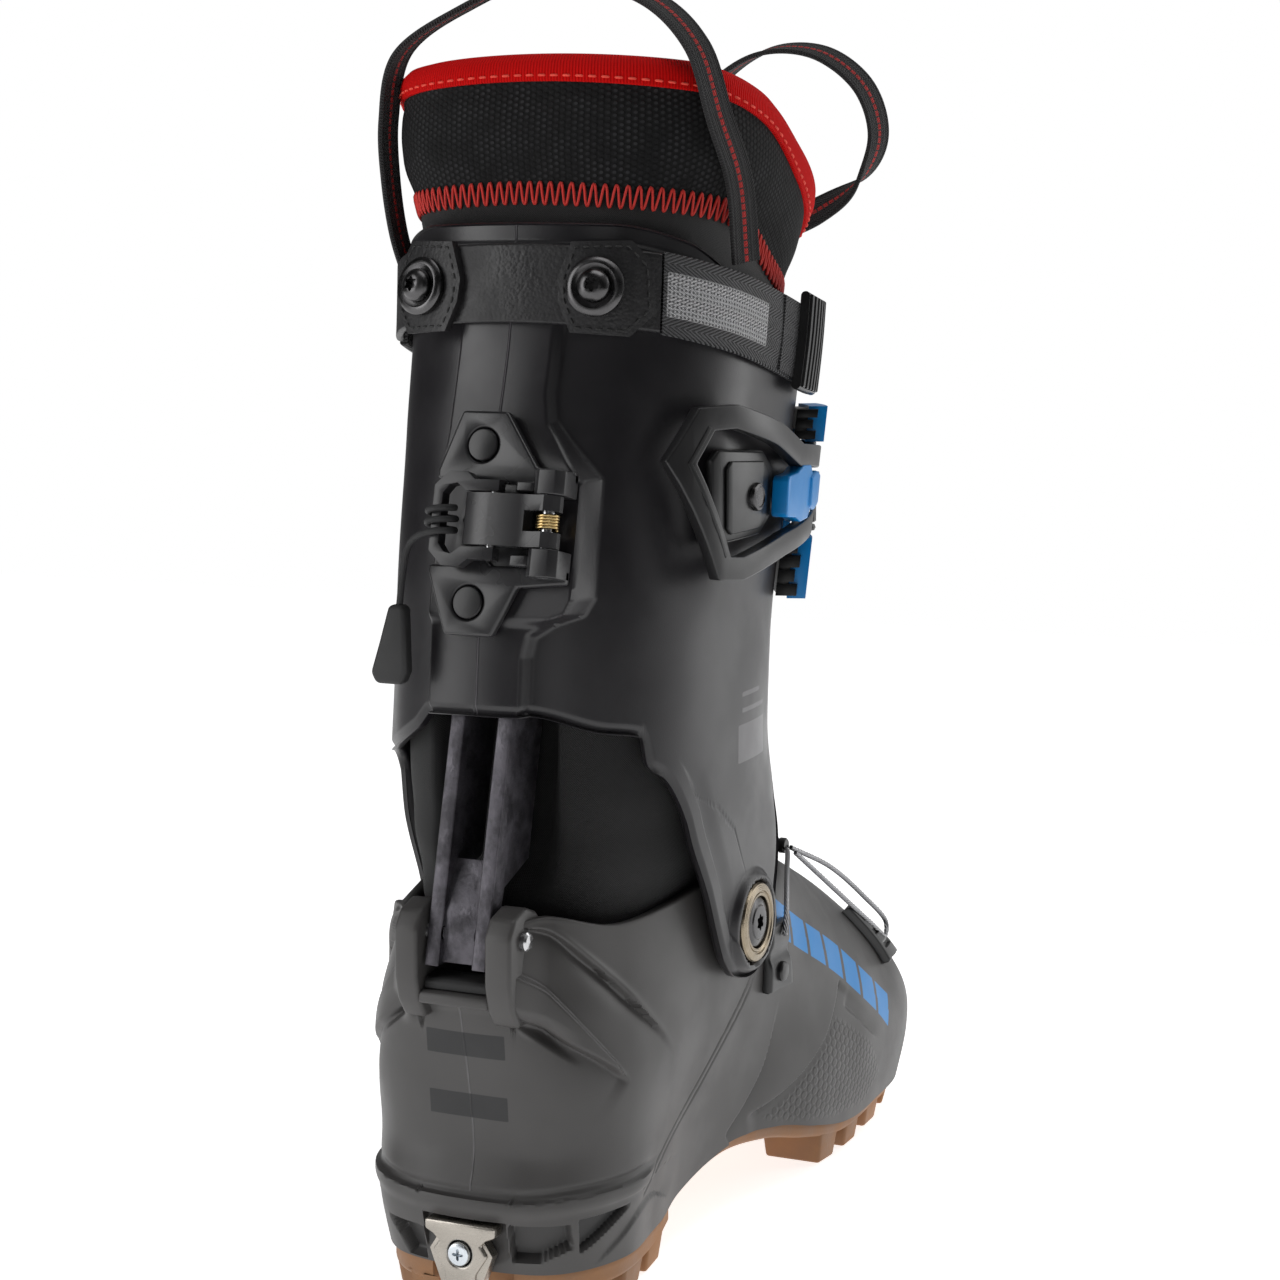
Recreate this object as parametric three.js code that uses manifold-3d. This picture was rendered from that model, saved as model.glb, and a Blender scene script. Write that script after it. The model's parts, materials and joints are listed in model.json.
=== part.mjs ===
// Right-foot ski touring boot: lower shell, hinged cuff, lean lock, buckle, strap and liner.
// Millimetres. Toe towards +Y, outer (lateral) side towards +X, up is +Z.
import * as THREE from 'three';
import { LoftGeometry } from 'three/addons/geometries/LoftGeometry.js';
import { mergeVertices } from 'three/addons/utils/BufferGeometryUtils.js';
import Module from 'manifold-3d';

const wasm = await Module();
wasm.setup();

// ---------------------------------------------------------------- driving dimensions
const GAP = 0.3;                    // clearance kept between touching pieces
const PIVOT = { y: -42, z: 103.6 }; // ankle hinge line, along X
const HEEL_PIN = { y: -137, z: 115.5 };
const SHELL_WALL = 4;
const CUFF_WALL = 3.2;
const FLOOR_Z = 28;                 // inside floor of the lower shell
const SPINE_HEIGHT = 4;             // raised rib down the back of the cuff
const SPINE_HALF = 12.6;
const SPINE_RAMP = 3;
const FLAP_DROP = 4.2;              // the inner front flap passes this far under the outer one
const STRAP_HALF = 12;
const LEVER_TILT = THREE.MathUtils.degToRad(-13);
const LEVER_ORIGIN = new THREE.Vector3(0, -122, 234);

const COLOURS = {
  shell: [0x4d4b4b, 0.5, 0],
  cuff: [0x38353b, 0.5, 0],
  black: [0x151516, 0.6, 0],
  fabric: [0x1a1a1c, 0.95, 0],
  gum: [0x8a5a33, 0.8, 0],
  steel: [0x8d8983, 0.35, 1],
  brass: [0xa0875c, 0.35, 1],
  blue: [0x1271b8, 0.45, 0],
  forged: [0x3c3b40, 0.5, 0.2],
  foam: [0x2b2b2e, 0.95, 0],
};

// ---------------------------------------------------------------- general helpers
const clamp = THREE.MathUtils.clamp;
const lerp = THREE.MathUtils.lerp;
const smoothstep = THREE.MathUtils.smoothstep;
const rad = THREE.MathUtils.degToRad;
const v3 = (x, y, z) => new THREE.Vector3(x, y, z);

// Smooth curve y(x) through [x, y] points in rising x, level beyond both ends, never overshooting.
function smoothTable(points) {
  const slopes = points.map((point, i) => {
    if (i === 0 || i === points.length - 1) return 0;
    const before = (point[1] - points[i - 1][1]) / (point[0] - points[i - 1][0]);
    const after = (points[i + 1][1] - point[1]) / (points[i + 1][0] - point[0]);
    return before * after <= 0 ? 0 : 2 * before * after / (before + after);
  });
  return x => {
    const last = points.length - 1;
    if (x <= points[0][0]) return points[0][1];
    if (x >= points[last][0]) return points[last][1];
    const i = points.findIndex(point => point[0] > x) - 1;
    const width = points[i + 1][0] - points[i][0];
    const t = (x - points[i][0]) / width;
    const rise = (2 * t ** 3 - 3 * t ** 2 + 1) * points[i][1] + (3 * t ** 2 - 2 * t ** 3) * points[i + 1][1];
    return rise + (t ** 3 - 2 * t ** 2 + t) * width * slopes[i] + (t ** 3 - t ** 2) * width * slopes[i + 1];
  };
}

function toSolid(geometry) {
  const bare = new THREE.BufferGeometry();
  bare.setAttribute('position', geometry.attributes.position);
  bare.setIndex(geometry.index);
  const merged = mergeVertices(bare, 1e-4);
  const mesh = new wasm.Mesh({
    numProp: 3,
    vertProperties: new Float32Array(merged.attributes.position.array),
    triVerts: new Uint32Array(merged.index.array),
  });
  return new wasm.Manifold(mesh);
}

function toGeometry(solid) {
  const mesh = solid.getMesh();
  const geometry = new THREE.BufferGeometry();
  geometry.setAttribute('position', new THREE.BufferAttribute(new Float32Array(mesh.vertProperties), 3));
  geometry.setIndex(new THREE.BufferAttribute(new Uint32Array(mesh.triVerts), 1));
  geometry.computeVertexNormals();
  return geometry;
}

const join = (...geometries) => toGeometry(geometries.map(toSolid).reduce((a, b) => a.add(b)));
const cut = (body, ...tools) => toGeometry(tools.map(toSolid).reduce((a, b) => a.subtract(b), toSolid(body)));
const common = (a, b) => toGeometry(toSolid(a).intersect(toSolid(b)));

function box(x0, x1, y0, y1, z0, z1) {
  return new THREE.BoxGeometry(x1 - x0, y1 - y0, z1 - z0)
    .translate((x0 + x1) / 2, (y0 + y1) / 2, (z0 + z1) / 2);
}

function flatShape(points) {
  return new THREE.Shape(points.map(([a, b]) => new THREE.Vector2(a, b)));
}

// Prism of an outline given as [y, z], running along X from x0 to x1.
function prismX(points, x0, x1) {
  const geometry = new THREE.ExtrudeGeometry(flatShape(points), { depth: x1 - x0, bevelEnabled: false });
  return geometry.applyMatrix4(new THREE.Matrix4().set(0, 0, 1, x0, 1, 0, 0, 0, 0, 1, 0, 0, 0, 0, 0, 1));
}

// Prism of an outline given as [x, z], running along Y from y0 to y1.
function prismY(points, y0, y1) {
  const geometry = new THREE.ExtrudeGeometry(flatShape(points), { depth: y1 - y0, bevelEnabled: false });
  return geometry.applyMatrix4(new THREE.Matrix4().set(1, 0, 0, 0, 0, 0, -1, y1, 0, 1, 0, 0, 0, 0, 0, 1));
}

// Prism of an outline given as [x, y], running along Z from z0 to z1.
function prismZ(points, z0, z1) {
  const geometry = new THREE.ExtrudeGeometry(flatShape(points), { depth: z1 - z0, bevelEnabled: false });
  return geometry.translate(0, 0, z0);
}

const cylinderX = (r, x0, x1, y, z, sides = 20) =>
  new THREE.CylinderGeometry(r, r, x1 - x0, sides).rotateZ(-Math.PI / 2).translate((x0 + x1) / 2, y, z);
const cylinderZ = (r, z0, z1, x, y, sides = 16) =>
  new THREE.CylinderGeometry(r, r, z1 - z0, sides).rotateX(Math.PI / 2).translate(x, y, (z0 + z1) / 2);
const cylinderY = (r, y0, y1, x, z, sides = 20) =>
  new THREE.CylinderGeometry(r, r, y1 - y0, sides).translate(x, (y0 + y1) / 2, z);

// Ring about the X axis whose cross-section is a rectangle.
function ringX(inner, outer, x0, x1, y, z, sides = 22) {
  const profile = [[inner, x0], [outer, x0], [outer, x1], [inner, x1], [inner, x0]];
  return new THREE.LatheGeometry(profile.map(([r, x]) => new THREE.Vector2(r, x)), sides)
    .rotateZ(-Math.PI / 2).translate(0, y, z);
}

// Round tube with closed ends along a smooth curve through the points.
function tube(points, radius, sides, steps) {
  const path = new THREE.CatmullRomCurve3(points, false, 'centripetal');
  const section = new THREE.Shape();
  section.absarc(0, 0, radius, 0, 2 * Math.PI);
  return new THREE.ExtrudeGeometry(section, { steps, extrudePath: path, curveSegments: sides / 2 });
}

// Solid skin between two matching grids of points, outer[i][j] and inner[i][j].
function plate(outer, inner) {
  const along = outer[1][0].clone().sub(outer[0][0]);
  const up = outer[0][1].clone().sub(outer[0][0]);
  const clockwise = along.cross(up).dot(outer[0][0].clone().sub(inner[0][0])) > 0;
  const sections = outer.map((row, i) => [...row, ...inner[i].slice().reverse()]);
  if (clockwise) sections.forEach(section => section.reverse());
  return new LoftGeometry(sections, { closed: true, capStart: true, capEnd: true });
}

// Flat webbing of the given width along a curve; across(t) is the direction of its width.
function webbing(points, width, thickness, steps, across) {
  const path = new THREE.CatmullRomCurve3(points, false, 'centripetal');
  const sections = [];
  for (let i = 0; i <= steps; i++) {
    const t = i / steps;
    const centre = path.getPointAt(t);
    const tangent = path.getTangentAt(t);
    const wide = across(t).clone();
    wide.addScaledVector(tangent, -wide.dot(tangent)).normalize();
    const thick = tangent.clone().cross(wide);
    const corner = (a, b) => centre.clone().addScaledVector(wide, a * width / 2).addScaledVector(thick, b * thickness / 2);
    sections.push([corner(-1, -1), corner(1, -1), corner(1, 1), corner(-1, 1)]);
  }
  return new LoftGeometry(sections, { closed: true, capStart: true, capEnd: true });
}

function range(from, to, count) {
  return Array.from({ length: count + 1 }, (_, i) => lerp(from, to, i / count));
}

// ---------------------------------------------------------------- pieces and groups
const group = new THREE.Group();

function piece(name, geometry, colour, parent = group) {
  const [hex, roughness, metalness] = COLOURS[colour];
  const material = new THREE.MeshStandardMaterial({ color: hex, roughness, metalness });
  const mesh = new THREE.Mesh(geometry, material);
  mesh.name = name;
  parent.add(mesh);
}

// ---------------------------------------------------------------- lower shell surface
// Rings from the sole edge up to the rim. Each ring lists half an outline on the lateral side, from the
// heel centre to the toe tip, as [x, y, z]; the medial side repeats it, a little narrower.
const SHELL_RINGS = [
  [[0, -133, 10], [24, -128.5, 10], [36.5, -108, 10], [34, -62, 10], [38, -22, 10], [49, 30, 10],
    [50, 75, 10], [42, 118, 10], [-5, 143, 10]],
  [[0, -138.5, 33], [27, -132, 33], [39.5, -110, 33], [37, -62, 35], [41, -22, 38], [52, 30, 32],
    [53.5, 75, 30], [45.5, 120, 30], [-5, 147, 32]],
  [[0, -133.5, 50], [27, -129, 50], [40.5, -110, 50], [40, -60, 51], [43, -20, 52], [52, 30, 49],
    [53, 75, 47], [45, 119, 45], [-5, 145, 44]],
  [[0, -134.3, 70], [28, -130, 70], [41.5, -110, 70], [44, -60, 70], [45, -20, 70], [49, 30, 68],
    [48, 72, 64], [39, 112, 60], [-4, 137, 57]],
  [[0, -137, 90], [27, -131, 90], [40.5, -108, 90], [46, -58, 90], [46, -20, 90], [44, 28, 87],
    [40, 64, 81], [29, 100, 74], [-3, 125, 70]],
  [[0, -139, 103], [25, -131, 104], [38, -106, 104], [46.3, -58, 105], [45.5, -20, 106], [36, 26, 104],
    [28, 56, 97], [19, 84, 88], [-2, 105, 83]],
  [[0, -137, 113], [22, -131, 121], [36, -107, 115], [45.6, -58, 120], [43, -20, 119], [25, 20, 114],
    [17, 42, 106], [9, 58, 100], [0, 66, 97]],
];
const FOOT_AXIS_X = -1;
const medialScale = y => lerp(1, 0.93, smoothstep(y, -105, -10));

// Closed outline at height parameter v, 0 at the sole edge and 6 at the rim.
function ringAt(rings, v, count) {
  const i = clamp(Math.floor(v), 0, rings.length - 2);
  const t = v - i;
  const at = k => rings[clamp(k, 0, rings.length - 1)];
  const half = rings[0].map((_, j) => {
    const [a, b, c, d] = [at(i - 1)[j], at(i)[j], at(i + 1)[j], at(i + 2)[j]];
    const mix = k => 0.5 * (2 * b[k] + (c[k] - a[k]) * t + (2 * a[k] - 5 * b[k] + 4 * c[k] - d[k]) * t * t
      + (3 * b[k] - a[k] - 3 * c[k] + d[k]) * t ** 3);
    return v3(mix(0), mix(1), mix(2));
  });
  const medial = half.slice(1, -1).reverse().map(p => v3(FOOT_AXIS_X - (p.x - FOOT_AXIS_X) * medialScale(p.y), p.y, p.z));
  const curve = new THREE.CatmullRomCurve3([...half, ...medial], true, 'centripetal');
  return curve.getPoints(count).slice(0, count);
}

// Grid of rings for the given heights, and the same grid moved inwards along its normals.
function ringGrid(rings, heights, count) {
  return heights.map(v => ringAt(rings, v, count));
}

function insetRing(rings, v, count, inset) {
  const step = 0.08;
  const here = ringAt(rings, v, count);
  const above = ringAt(rings, Math.min(v + step, rings.length - 1), count);
  const below = ringAt(rings, Math.max(v - step, 0), count);
  return here.map((p, j) => {
    const along = here[(j + 1) % count].clone().sub(here[(j + count - 1) % count]);
    const up = above[j].clone().sub(below[j]);
    return p.clone().addScaledVector(along.cross(up).normalize(), -inset);
  });
}

const RING_POINTS = 38;
const shellInset = (v, inset) => insetRing(SHELL_RINGS, v, RING_POINTS, inset);
const atHeight = (ring, z) => ring.map(p => v3(p.x, p.y, z));

// Cup with a solid bottom: outside rings upwards, inside rings downwards, then a slightly crowned floor.
function cup(outer, inner, floorRing, floorZ) {
  const centre = v3(0, 0, 0);
  floorRing.forEach(p => centre.addScaledVector(p, 1 / floorRing.length));
  const crown = floorRing.map(p => v3(lerp(p.x, centre.x, 0.08), lerp(p.y, centre.y, 0.08), floorZ + 0.2));
  return new LoftGeometry([...outer, ...inner, atHeight(floorRing, floorZ), crown],
    { closed: true, capStart: true, capEnd: true });
}

// Height of the underside of the shell along the boot, which is also the top of the outsole.
const soleLine = smoothTable([[-145, 14], [-76, 14], [-62, 18.5], [-42, 23], [-22, 25.5], [0, 23.5], [22, 18],
  [46, 13], [60, 12], [104, 12], [126, 14], [147, 18]]);
const soleLinePoints = (offset, from = -150, to = 152) => range(from, to, 30).map(y => [y, soleLine(y) + offset]);

function lowerShell() {
  const outer = ringGrid(SHELL_RINGS, [0, 0.6, 1, 2, 3, 4, 4.5, 5, 5.5, 6], RING_POINTS);
  const inner = [6, 5.5, 5, 4, 3, 2, 1].map(v => shellInset(v, SHELL_WALL));
  const body = cup(outer, inner, shellInset(0.7, SHELL_WALL), FLOOR_Z);
  const underside = prismX([[-160, 0], [160, 0], ...soleLinePoints(0).reverse()], -70, 70);
  const barSlot = box(-11, 11, -160, -118, 99, 140);
  const insertPocket = box(-13.3, 13.3, -160, -135.2, 5, 30);
  const earOutline = [[-143.5, 92], [-145, 104], [-145, 118], [-142.5, 122.5], [-137, 125], [-130, 124.5],
    [-124, 121], [-124, 100], [-131, 88]];
  const ears = [prismX(earOutline, 11, 19), prismX(earOutline, -17.5, -11)];
  const holes = [
    cylinderX(4.6, -70, 70, PIVOT.y, PIVOT.z),
    cylinderX(2.8, -24, 24, HEEL_PIN.y, HEEL_PIN.z, 16),
  ];
  const toeBores = cylinderX(4.6, -60, -26.5, 133, 21);
  const toeBoreOuter = cylinderX(4.6, 22.5, 60, 133, 21);
  return cut(join(cut(body, barSlot), ...ears), underside, insertPocket, ...holes, toeBores, toeBoreOuter);
}

// ---------------------------------------------------------------- outsole
function soleOutline(inset) {
  return insetRing(SHELL_RINGS, 0.3, 40, inset).map(p => [p.x, p.y]);
}

function outsole(y0, y1, thickness, inset, lugRows) {
  const ys = range(y0, y1, 14);
  const slab = prismX([...ys.map(y => [y, soleLine(y) - thickness]),
    ...ys.slice().reverse().map(y => [y, soleLine(y) - GAP])], -60, 60);
  const lugs = lugRows.flatMap(([y, length, bottom, halves]) => halves.map(([x0, x1]) =>
    box(x0, x1, y - length / 2, y + length / 2, bottom, soleLine(y) - thickness + 1.5)));
  return common(join(slab, ...lugs), prismZ(soleOutline(inset), -5, 40));
}

function outsoleHeel() {
  const pair = [[-60, -17], [17, 60]];
  const rows = [[-137, 13, 0, pair], [-117, 14, 0, pair], [-97, 14, 0, pair], [-77.5, 15, 0, [[-60, -11], [11, 60]]]];
  return cut(outsole(-150, -66, 7, 2, rows), box(-13.6, 13.6, -160, -128, -5, 30));
}

function outsoleFront() {
  const edges = [[-60, -24], [24, 60]];
  const withCentre = [...edges, [-15, 15]];
  const rows = [[40, 13, 0, edges], [61, 13, 0, withCentre], [84, 14, 0.6, edges], [105, 12, 2.5, withCentre],
    [124, 12, 6, edges]];
  return outsole(-60, 150, 5, 5, rows);
}

// ---------------------------------------------------------------- cuff surface
const cuffRear = smoothTable([[85, -134], [140, -134], [183, -129.6], [210, -126.8], [258, -115.6],
  [292, -106.4], [325, -103]]);
const cuffFront = smoothTable([[85, 42], [112, 36], [140, 17], [165, 14], [190, 15.4], [240, 24.4], [290, 29.2],
  [325, 30]]);
const cuffHalf = smoothTable([[85, 51.5], [112, 51.5], [165, 52], [190, 52], [240, 54], [290, 57], [325, 58]]);
const cuffPower = smoothTable([[85, 4], [112, 3.6], [140, 2.7], [165, 2.4], [325, 2.4]]);
const spineHeight = z => SPINE_HEIGHT * (1 - smoothstep(z, 288, 314));

// Superellipse outline: point in the direction of angle phi, measured from straight back towards +X.
function ovalPoint(phi, rear, front, half, power) {
  const a = (front - rear) / 2;
  const r = (Math.abs(Math.sin(phi) / half) ** power + Math.abs(Math.cos(phi) / a) ** power) ** (-1 / power);
  return [r * Math.sin(phi), (front + rear) / 2 - r * Math.cos(phi)];
}

// Point of the cuff's skin; inset is the distance inwards from the outer face.
function cuffPoint(phi, z, inset) {
  const rear = cuffRear(z) + spineHeight(z) + inset;
  const [x, y] = ovalPoint(phi, rear, cuffFront(z) - inset, cuffHalf(z) - inset, cuffPower(z));
  const onRear = Math.cos(phi) > 0 ? 1 - smoothstep(Math.abs(x), SPINE_HALF, SPINE_HALF + SPINE_RAMP) : 0;
  return v3(x, y - onRear * spineHeight(z), z);
}

// Angle of the skin point on the side at a given y.
function sideAngle(y, z) {
  const rear = cuffRear(z) + spineHeight(z);
  const middle = (cuffFront(z) + rear) / 2;
  const a = (cuffFront(z) - rear) / 2;
  const x = cuffHalf(z) * (1 - Math.min(Math.abs((y - middle) / a), 1) ** cuffPower(z)) ** (1 / cuffPower(z));
  return Math.atan2(x, middle - y);
}

// Point off the cuff's lateral side above the side position y, at height z, a distance out from its face.
function offSide(y, z, out) {
  return offAngle(sideAngle(y, z), z, out);
}

function offAngle(phi, z, out) {
  const here = cuffPoint(phi, z, 0);
  const ahead = cuffPoint(phi + 0.01, z, 0);
  const normal = v3(ahead.y - here.y, here.x - ahead.x, 0).normalize();
  return here.addScaledVector(normal, out);
}

// Lower edge: level across the back, down the ankle arm, round its end and up again to the front flaps.
const ARM_END = [[-74, 111], [-64, 96], [-55, 88.6], [-42, 86], [-30, 89.5], [-24, 98], [-21, 112], [-14, 134], [-4, 150]];
const edgeAngles = points => points.map(([y, z]) => [sideAngle(y, z), z]);
const LOWER_EDGE_LATERAL = [[0, 178.5], [0.21, 178.5], [0.52, 173.4], [0.72, 171],
  ...edgeAngles([[-103, 162.4], [-97, 157.7], [-88.5, 143.7], [-80, 129], ...ARM_END]), [2.75, 158], [3.3, 159]];
const LOWER_EDGE_MEDIAL = [[0, 178.5], [0.24, 178], [0.33, 172.5], [0.65, 162.5],
  ...edgeAngles([[-97, 159.5], [-82, 153], [-77, 134], ...ARM_END]), [2.75, 158], [3.3, 159]];
const UPPER_EDGE = [[0, 320.5], [0.45, 320], [0.8, 315], [1.1, 305], [1.6, 296], [2.3, 288], [3.3, 283]];
const lowerEdgeLateral = smoothTable(LOWER_EDGE_LATERAL);
const lowerEdgeMedial = smoothTable(LOWER_EDGE_MEDIAL);
const upperEdge = smoothTable(UPPER_EDGE);
const FLAP_OUTER_END = rad(168);
const FLAP_INNER_END = rad(-187);
const MEDIAL_ARM_SCALE = 0.985;

// How far the medial flap has sunk under the lateral one at an angle.
const flapDrop = phi => FLAP_DROP * smoothstep(-phi, rad(118), rad(150));

function cuffShell() {
  const fine = [0, 7, 12, 14.5, 21, 31, 42, 52, 60, 66, 71, 75.5, 80, 85, 91, 98, 106, 114, 121, 130, 141, 153];
  const lateral = [...fine.map(rad), FLAP_OUTER_END];
  const medial = [...fine.slice(1).map(d => rad(-d)), rad(-170), rad(-179), FLAP_INNER_END].reverse();
  const grid = (inset) => [...medial, ...lateral].map(phi => {
    const side = Math.abs(phi);
    const lowest = phi < 0 ? lowerEdgeMedial(side) : lowerEdgeLateral(side);
    return range(0, 1, 6).map(t => {
      const z = lerp(lowest, upperEdge(side), t);
      const p = cuffPoint(phi, z, inset + flapDrop(phi));
      if (phi < 0) p.x *= MEDIAL_ARM_SCALE;
      return p;
    });
  });
  const skin = plate(grid(0), grid(CUFF_WALL));
  const hinge = cylinderX(4.6, -70, 70, PIVOT.y, PIVOT.z);
  const pawlHole = prismY([[-7, 228], [7, 228], [7, 240], [-7, 240]], -140, -105);
  return cut(skin, hinge, pawlHole);
}

// ---------------------------------------------------------------- ankle pivots
function ankleHardware(side, label) {
  const x = value => side * value;
  const span = (a, b) => (side > 0 ? [a, b] : [-b, -a]);
  const outer = side > 0 ? 51.9 : 51.9 * MEDIAL_ARM_SCALE;
  const ring = ringX(8.3, 12.6, ...span(outer, outer + 2.4), PIVOT.y, PIVOT.z);
  const head = cylinderX(7.9, ...span(outer, outer + 2.2), PIVOT.y, PIVOT.z, 24);
  const shank = cylinderX(4.2, ...span(38.6, outer + 1), PIVOT.y, PIVOT.z);
  const socket = cylinderX(2.6, ...span(outer + 0.8, outer + 6), PIVOT.y, PIVOT.z, 6);
  piece(`pivot_ring_${label}`, ring, 'brass');
  piece(`pivot_bolt_${label}`, cut(join(head, shank), socket), 'forged');
  const nut = cut(cylinderX(7, ...span(38.4, 40.9), PIVOT.y, PIVOT.z, 6),
    cylinderX(4.5, Math.min(x(30), x(60)), Math.max(x(30), x(60)), PIVOT.y, PIVOT.z));
  piece(`pivot_nut_${label}`, nut, 'steel');
}

// ---------------------------------------------------------------- lean lock bar
const BAR_HALF = 10;
const BAR_PLATE = 4.6;
const BAR_OUTLINE = [[-142.5, 106.5], [-124.6, 178], [-113.2, 236], [-106.5, 236], [-104, 205], [-105.2, 172],
  [-114.2, 134.5], [-130, 128.5], [-132.5, 122], [-132.5, 106.5]];
const WEB_OUTLINE = [[-141, 106.5], [-140.4, 118], [-137.6, 125], [-130.8, 137.5], [-127.5, 134.5], [-130.2, 121], [-132.5, 106.5]];

function lockBar() {
  const plates = [prismX(BAR_OUTLINE, BAR_HALF - BAR_PLATE, BAR_HALF), prismX(BAR_OUTLINE, -BAR_HALF, BAR_PLATE - BAR_HALF)];
  const web = prismX(WEB_OUTLINE, -BAR_HALF + 1, BAR_HALF - 1);
  const catchBridge = box(-BAR_HALF + 1, BAR_HALF - 1, -112.2, -107.4, 224, 227);
  const pinHole = cylinderX(2.8, -20, 20, HEEL_PIN.y, HEEL_PIN.z, 16);
  return cut(join(...plates, web, catchBridge), pinHole);
}

// ---------------------------------------------------------------- liner
const linerRear = smoothTable([[118, -96], [200, -93.5], [235, -95], [262, -98], [370, -98]]);
const linerFront = smoothTable([[118, 1], [165, 1], [190, 2.5], [215, 7], [240, 13.5], [285, 18], [310, 27], [340, 39], [370, 40]]);
const linerHalf = smoothTable([[118, 42.5], [150, 45], [240, 47.8], [285, 50.6], [305, 51.4], [345, 59], [370, 60]]);
const linerPower = smoothTable([[118, 2.3], [300, 2.3], [340, 2.8]]);
const LINER_WALL = 9;
const linerTop = smoothTable([[0, 368.5], [0.73, 366.3], [1.18, 359.5], [1.655, 345.5], [2.3, 327], [2.7, 318]]);
const linerBottom = y => 124 + 0.42 * Math.abs(y - PIVOT.y);

function linerPoint(phi, z, inset) {
  const [x, y] = ovalPoint(phi, linerRear(z) + inset, linerFront(z) - inset, linerHalf(z) - inset, linerPower(z));
  return v3(x, y, z);
}

function linerCuff() {
  const angles = range(rad(-152), rad(152), 28);
  const column = inset => phi => range(0, 1, 5).map(t => {
    const low = linerBottom(linerPoint(phi, 140, 0).y);
    const topRounding = inset > 0 ? -1.5 : 0;
    return linerPoint(phi, lerp(low, linerTop(Math.abs(phi)) + topRounding, t), inset);
  });
  return plate(angles.map(column(0)), angles.map(column(LINER_WALL)));
}

function linerTongue() {
  const angles = range(rad(157), rad(203), 8);
  const column = inset => phi => range(0, 1, 6).map(t => linerPoint(phi, lerp(150, 330, t), inset));
  return plate(angles.map(column(0.5)), angles.map(column(LINER_WALL)));
}

// Inner boot's foot: same ring scheme as the shell, closed over the instep up to the ankle opening.
const FOOT_RINGS = [
  [[0, -120, 36], [17, -117, 36], [28, -100, 36], [29, -60, 36], [31, -22, 36], [41, 30, 36], [42, 75, 36],
    [34, 112, 36], [-4, 133, 36]],
  [[0, -126, 50], [19, -121, 50], [32, -101, 50], [34, -60, 50], [36, -20, 50], [44.5, 30, 49], [45.5, 73, 46],
    [38, 112, 44], [-4, 137, 44]],
  [[0, -126, 70], [19, -121, 70], [33, -101, 70], [37, -60, 70], [37.5, -20, 70], [41.5, 30, 67], [40, 68, 61],
    [31, 104, 56], [-4, 128, 54]],
  [[0, -121, 90], [18, -117, 90], [32, -100, 90], [37, -60, 90], [37.5, -20, 90], [36, 26, 83], [31, 58, 76],
    [22, 90, 68], [-3, 113, 65]],
  [[0, -111, 105], [17, -108, 105], [30, -96, 105], [37, -60, 103], [36, -20, 99], [27, 20, 95], [19, 40, 92],
    [11, 60, 84], [-2, 74, 80]],
  [[0, -104, 114], [17, -101, 114], [30, -90, 114], [37, -58, 112], [34, -22, 107], [24, -2, 107], [16, 6, 107.5],
    [8, 10, 108], [0, 11, 108]],
];
const FOOT_POINTS = 24;

function linerFoot() {
  const outer = ringGrid(FOOT_RINGS, [0, 0.5, 1, 2, 3, 4, 5], FOOT_POINTS);
  const inner = [5, 4, 3, 2, 1].map(v => insetRing(FOOT_RINGS, v, FOOT_POINTS, 4.5));
  return cup(outer, inner, insetRing(FOOT_RINGS, 0.5, FOOT_POINTS, 5.5), 40.5);
}

function innerBoard(z0, z1, inset) {
  return prismZ(shellInset(0.8, SHELL_WALL + inset).map(p => [p.x, p.y]), z0, z1);
}

function footbed() {
  return prismZ(insetRing(FOOT_RINGS, 0.35, FOOT_POINTS, 7).map(p => [p.x, p.y]), 40.8, 43.6);
}

// ---------------------------------------------------------------- power strap and its rear fixings
const strapHeight = smoothTable([[0, 303], [0.55, 301], [1, 295.5], [1.45, 289], [2, 283], [3.14, 279]]);

function strapPoint(phi, up, out) {
  const turn = phi > Math.PI ? 2 * Math.PI - phi : Math.abs(phi);
  const z = strapHeight(turn) + up;
  const [x, y] = ovalPoint(phi, cuffRear(z) - out, cuffFront(z) + out, cuffHalf(z) + out, cuffPower(z));
  return v3(x, y, z);
}

function bandPlate(from, to, count, lowest, highest, near, far) {
  const columns = out => range(from, to, count).map(phi => range(lowest, highest, 2).map(up => strapPoint(phi, up, out)));
  return plate(columns(far), columns(near));
}

function strapFixing(side, label) {
  const tab = bandPlate(side > 0 ? rad(14.5) : rad(-33), side > 0 ? rad(36.5) : rad(-11), 4, -14, 14.5, 3.6, 5.2);
  const centre = strapPoint(side * rad(22.5), 0, 6);
  const outward = v3(side * 0.22, -0.96, 0.17).normalize();
  const turn = new THREE.Quaternion().setFromUnitVectors(v3(0, 1, 0), outward);
  const place = geometry => geometry.applyQuaternion(turn).translate(centre.x, centre.y, centre.z);
  const washer = new THREE.LatheGeometry([[4.2, 0.9], [8.6, 0.9], [8.6, 1.7], [6.8, 2.6], [4.2, 2.2], [4.2, 0.9]]
    .map(([r, h]) => new THREE.Vector2(r, h)), 16);
  const bolt = new THREE.LatheGeometry([[0, 0.9], [3.8, 0.9], [3.8, 2.6], [4.9, 2.6], [4.9, 3.6], [3.6, 5.2], [1.6, 5.6],
    [1.6, 4], [0, 4]].map(([r, h]) => new THREE.Vector2(r, h)), 14);
  piece(`strap_tab_${label}`, tab, 'black');
  piece(`strap_washer_${label}`, place(washer), 'forged');
  piece(`strap_bolt_${label}`, place(bolt), 'forged');
}

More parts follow.
